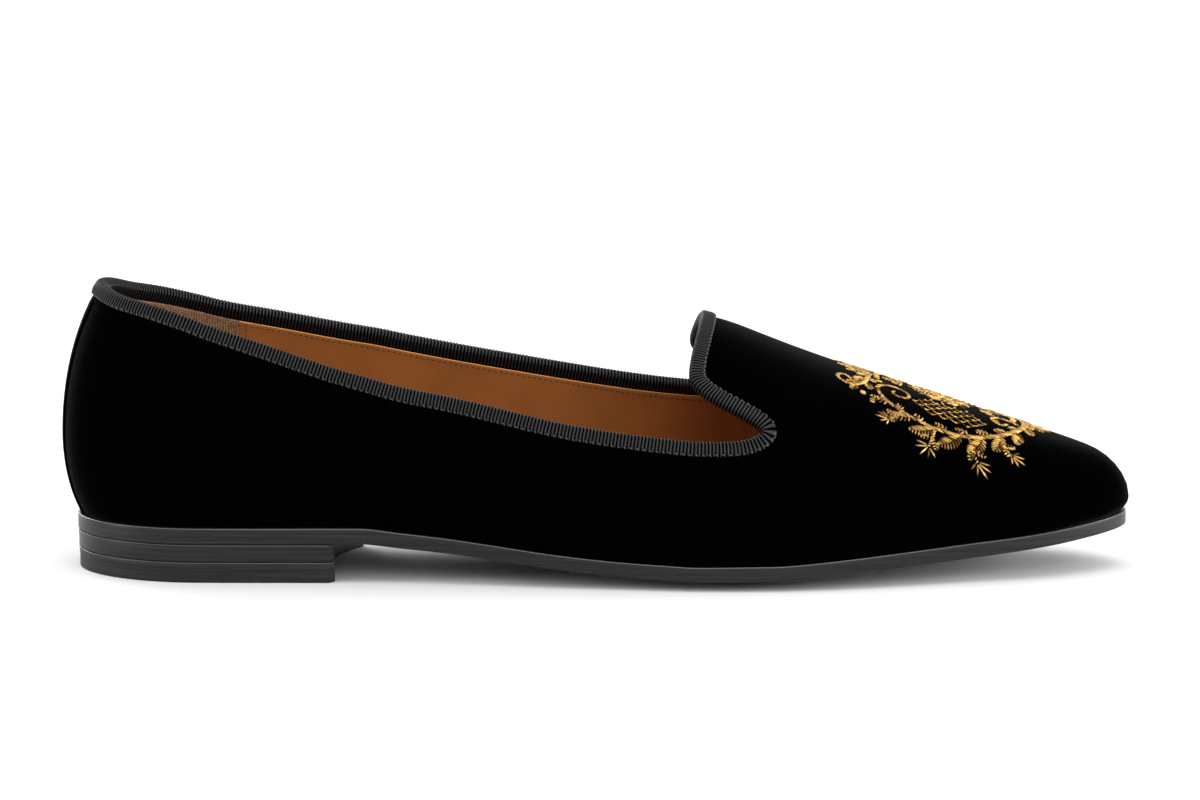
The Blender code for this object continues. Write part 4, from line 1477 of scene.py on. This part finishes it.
def draw_medallion(work):
    """The design: a rosette in mirrored leafy scrolls, with a palmette at each end."""
    for petal in range(8):
        angle = 22.5 + petal * 45
        work.leaf(
            2.0 * pointing(math.radians(angle)), angle, 5.6, 3.9, mirror=False, tone=0.12)
        between = pointing(math.radians(angle + 22.5))
        work.stitch(5.4 * between, 8.2 * between, 0.05, 0.9, -0.25, mirror=False)
    spin = np.linspace(0.5, 4 * math.pi, 90)
    core = np.column_stack([0.15 * spin * np.cos(spin), 0.15 * spin * np.sin(spin)])
    work.stem(core, 0.8, 0.0, mirror=False, pitch=0.7, tone=0.35)
    scroll = work.path((
        (20.6, 0.9), (19.6, 7.2), (15.4, 14.4), (8.0, 20.2), (-0.6, 22.6), (-8.8, 21.2),
        (-14.6, 16.6), (-15.6, 10.8), (-12.2, 7.4), (-8.6, 9.2), (-8.8, 12.8), (-11.6, 13.3),
        (-12.0, 11.2)))
    work.stem(scroll, 1.7, 0.5)
    work.leaves_along(scroll, (
        (0.07, -1, 5.4, 2.6), (0.15, -1, 6.6, 3.0), (0.23, -1, 7.8, 3.4), (0.31, -1, 8.6, 3.6),
        (0.39, -1, 8.8, 3.6), (0.47, -1, 8.2, 3.4), (0.55, -1, 7.0, 3.1), (0.63, -1, 5.6, 2.7),
        (0.11, 1, 3.6, 1.9), (0.19, 1, 4.2, 2.1), (0.27, 1, 4.4, 2.2), (0.35, 1, 4.4, 2.2),
        (0.43, 1, 4.2, 2.1), (0.51, 1, 3.8, 2.0), (0.59, 1, 3.2, 1.8)))
    work.trellis((1.6, 13.0), (10.4, 5.0), 1.45)
    sprigs = (
        ((13.6, 17.2), -12, 9.0), ((6.2, 21.6), -6, 10.6), ((-2.2, 23.0), 6, 10.2),
        ((-10.4, 20.8), 14, 8.4))
    for start, bend, reach in sprigs:
        work.sprig(start, 90 + bend * 1.5, reach, bend)
    tendril = work.path((
        (18.6, 5.0), (15.6, 3.8), (12.9, 5.4), (12.4, 8.4), (14.4, 9.8), (15.8, 8.0)))
    work.stem(tendril, 1.0, 0.4)
    work.leaves_along(tendril, ((0.35, 1, 3.0, 1.7), (0.6, -1, 2.6, 1.5)))
    ankle_stem = work.path((
        (-17.4, 0.8), (-18.0, 4.8), (-18.6, 9.4), (-20.4, 13.6), (-23.6, 15.2), (-25.6, 12.8),
        (-24.2, 10.4), (-22.4, 11.6)))
    work.stem(ankle_stem, 1.3, 0.4)
    work.leaves_along(ankle_stem, (
        (0.12, 1, 4.6, 2.3), (0.30, 1, 5.2, 2.5), (0.48, 1, 4.4, 2.2), (0.22, -1, 3.6, 1.9),
        (0.40, -1, 4.6, 2.2), (0.58, -1, 4.0, 2.0)))
    for toward, s, size in ((180, -17.6, 1.0), (0, 20.4, 0.86)):
        turn = -1 if toward else 1
        work.leaf((s, 0), toward, 8.2 * size, 3.4, mirror=False, tone=0.15)
        work.leaf((s, 0.5), toward + turn * 30, 7.4 * size, 2.8, bend=turn * 18)
        work.leaf((s, 0.9), toward + turn * 62, 6.0 * size, 2.4, bend=turn * 26)
    for toward, s in ((180, -9.4), (0, 9.4)):
        turn = -1 if toward else 1
        work.leaf((s, 0), toward, 5.4, 2.6, mirror=False)
        work.fan(np.array([s, 0.6]), toward + turn * 48, 24, 4, 4.4)
    berries = (
        (-15.9, 3.2), (-15.4, 6.4), (17.6, 2.2), (-19.6, 18.0), (-17.4, 20.4), (18.0, 14.4))
    for spot in berries:
        work.berry(spot, 0.75)
    work.berry((-15.9, 0.0), mirror=False)
    work.berry((17.8, 0.0), mirror=False)


class SLIPPER_OT_embroidery(bpy.types.Operator):
    """Embroiders the gold flower medallion on the vamp"""

    bl_idname = "slipper.embroidery"
    bl_label = "Gold medallion"

    def execute(self, context):
        settings = context.scene.slipper_embroidery
        work = Medallion(settings)
        draw_medallion(work)
        piece = work.build(gold_material(settings))
        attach(piece, "root")
        return {"FINISHED"}
# The soft lights: name, place, what they look at, width, height and power.
LIGHTS = (
    ("top_light", (0.1, -0.2, 1.4), (0.0, 0.0, 0.0), 1.2, 1.2, 6.0),
    ("front_light", (0.6, -1.7, 0.8), (0.0, 0.0, 0.05), 1.6, 0.8, 10.0),
    ("back_light", (-0.9, 1.3, 0.8), (0.0, 0.0, 0.05), 1.0, 0.7, 13.0),
    ("toe_light", (1.1, 0.0, 0.2), (0.1, 0.0, 0.01), 0.9, 0.36, 9.0),
    ("heel_light", (-1.3, -0.3, 0.25), (-0.1, 0.0, 0.02), 0.25, 0.3, 4.0),
)


class SLIPPER_OT_stage(bpy.types.Operator):
    """Sets up the studio floor, the soft lights and the camera"""

    bl_idname = "slipper.stage"
    bl_label = "Studio"

    def execute(self, context):
        settings = context.scene.slipper_stage
        self.floor(settings)
        self.world(context.scene)
        for light in LIGHTS:
            self.softbox(*light)
        self.camera(context.scene, settings)
        return {"FINISHED"}

    def floor(self, settings):
        """A wide pale floor under the shoe."""
        look, _, _ = start_material(
            "studio_floor", Roughness=0.9, Specular_IOR_Level=0.1,
            Base_Color=shade(settings.floor))
        form = bmesh.new()
        bmesh.ops.create_grid(form, x_segments=2, y_segments=2, size=6.0)
        finish_piece(form, "studio_floor", look)

    def world(self, scene):
        """White surroundings, brighter overhead than at the horizon."""
        world = bpy.data.worlds.new("white_studio")
        world.use_nodes = True
        tree = world.node_tree
        back = tree.nodes["Background"]
        direction = add_node(tree, "ShaderNodeTexCoord").outputs["Generated"]
        rise = parts_of(tree, direction)["Z"]
        height = math_node(tree, "MULTIPLY_ADD", rise, 0.5, 0.5, clamp=True)
        sky = ramp_node(tree, height, ((0.5, 0.48), (0.6, 0.62), (0.75, 0.8), (0.9, 0.78)))
        tree.links.new(sky, back.inputs["Color"])
        back.inputs["Strength"].default_value = 1.2
        scene.world = world

    def softbox(self, name, place, aim, width, height, power):
        """One rectangular soft light that looks at a place."""
        lamp = bpy.data.lights.new(name, "AREA")
        lamp.shape = "RECTANGLE"
        lamp.size = width
        lamp.size_y = height
        lamp.energy = power
        light = bpy.data.objects.new(name, lamp)
        light.location = place
        facing = Vector(aim) - Vector(place)
        light.rotation_euler = facing.to_track_quat("-Z", "Y").to_euler()
        bpy.context.scene.collection.objects.link(light)

    def camera(self, scene, settings):
        """The camera at the photograph's angle."""
        target = Vector((0.0009, 0.0, 0.0406))
        away = Vector((
            math.sin(settings.yaw) * math.cos(settings.elevation),
            -math.cos(settings.yaw) * math.cos(settings.elevation),
            math.sin(settings.elevation)))
        lens = bpy.data.cameras.new("studio_camera")
        lens.lens = settings.lens
        lens.sensor_width = 36.0
        lens.clip_end = 20.0
        eye = bpy.data.objects.new("studio_camera", lens)
        eye.location = target + away * settings.distance
        eye.rotation_euler = (-away).to_track_quat("-Z", "Y").to_euler()
        scene.collection.objects.link(eye)
        scene.camera = eye
        scene.view_settings.view_transform = "Standard"


class SLIPPER_PT_panel(bpy.types.Panel):
    """Lists the settings and the steps of the slipper"""

    bl_idname = "SLIPPER_PT_panel"
    bl_label = "Velvet slipper"
    bl_space_type = "VIEW_3D"
    bl_region_type = "UI"
    bl_category = "Slipper"

    def draw(self, context):
        for name, group in SETTINGS.items():
            box = self.layout.box()
            box.label(text=name.replace("slipper_", "").capitalize())
            for prop in group.__annotations__:
                box.prop(getattr(context.scene, name), prop)
        for step in STEPS:
            self.layout.operator(step.bl_idname)


STEPS = (
    SLIPPER_OT_stage,
    SLIPPER_OT_upper,
    SLIPPER_OT_lining,
    SLIPPER_OT_ribbon,
    SLIPPER_OT_sole,
    SLIPPER_OT_embroidery,
)


def register():
    for group in SETTINGS.values():
        bpy.utils.register_class(group)
    for name, group in SETTINGS.items():
        setattr(bpy.types.Scene, name, bpy.props.PointerProperty(type=group))
    for step in (*STEPS, SLIPPER_PT_panel):
        bpy.utils.register_class(step)


def unregister():
    for step in reversed((*STEPS, SLIPPER_PT_panel)):
        bpy.utils.unregister_class(step)
    for name in SETTINGS:
        delattr(bpy.types.Scene, name)
    for group in reversed(SETTINGS.values()):
        bpy.utils.unregister_class(group)


def main():
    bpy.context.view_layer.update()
    register()
    bpy.ops.slipper.stage()
    bpy.ops.slipper.upper()
    bpy.ops.slipper.lining()
    bpy.ops.slipper.ribbon()
    bpy.ops.slipper.sole()
    bpy.ops.slipper.embroidery()


if __name__ == "__main__":
    main()
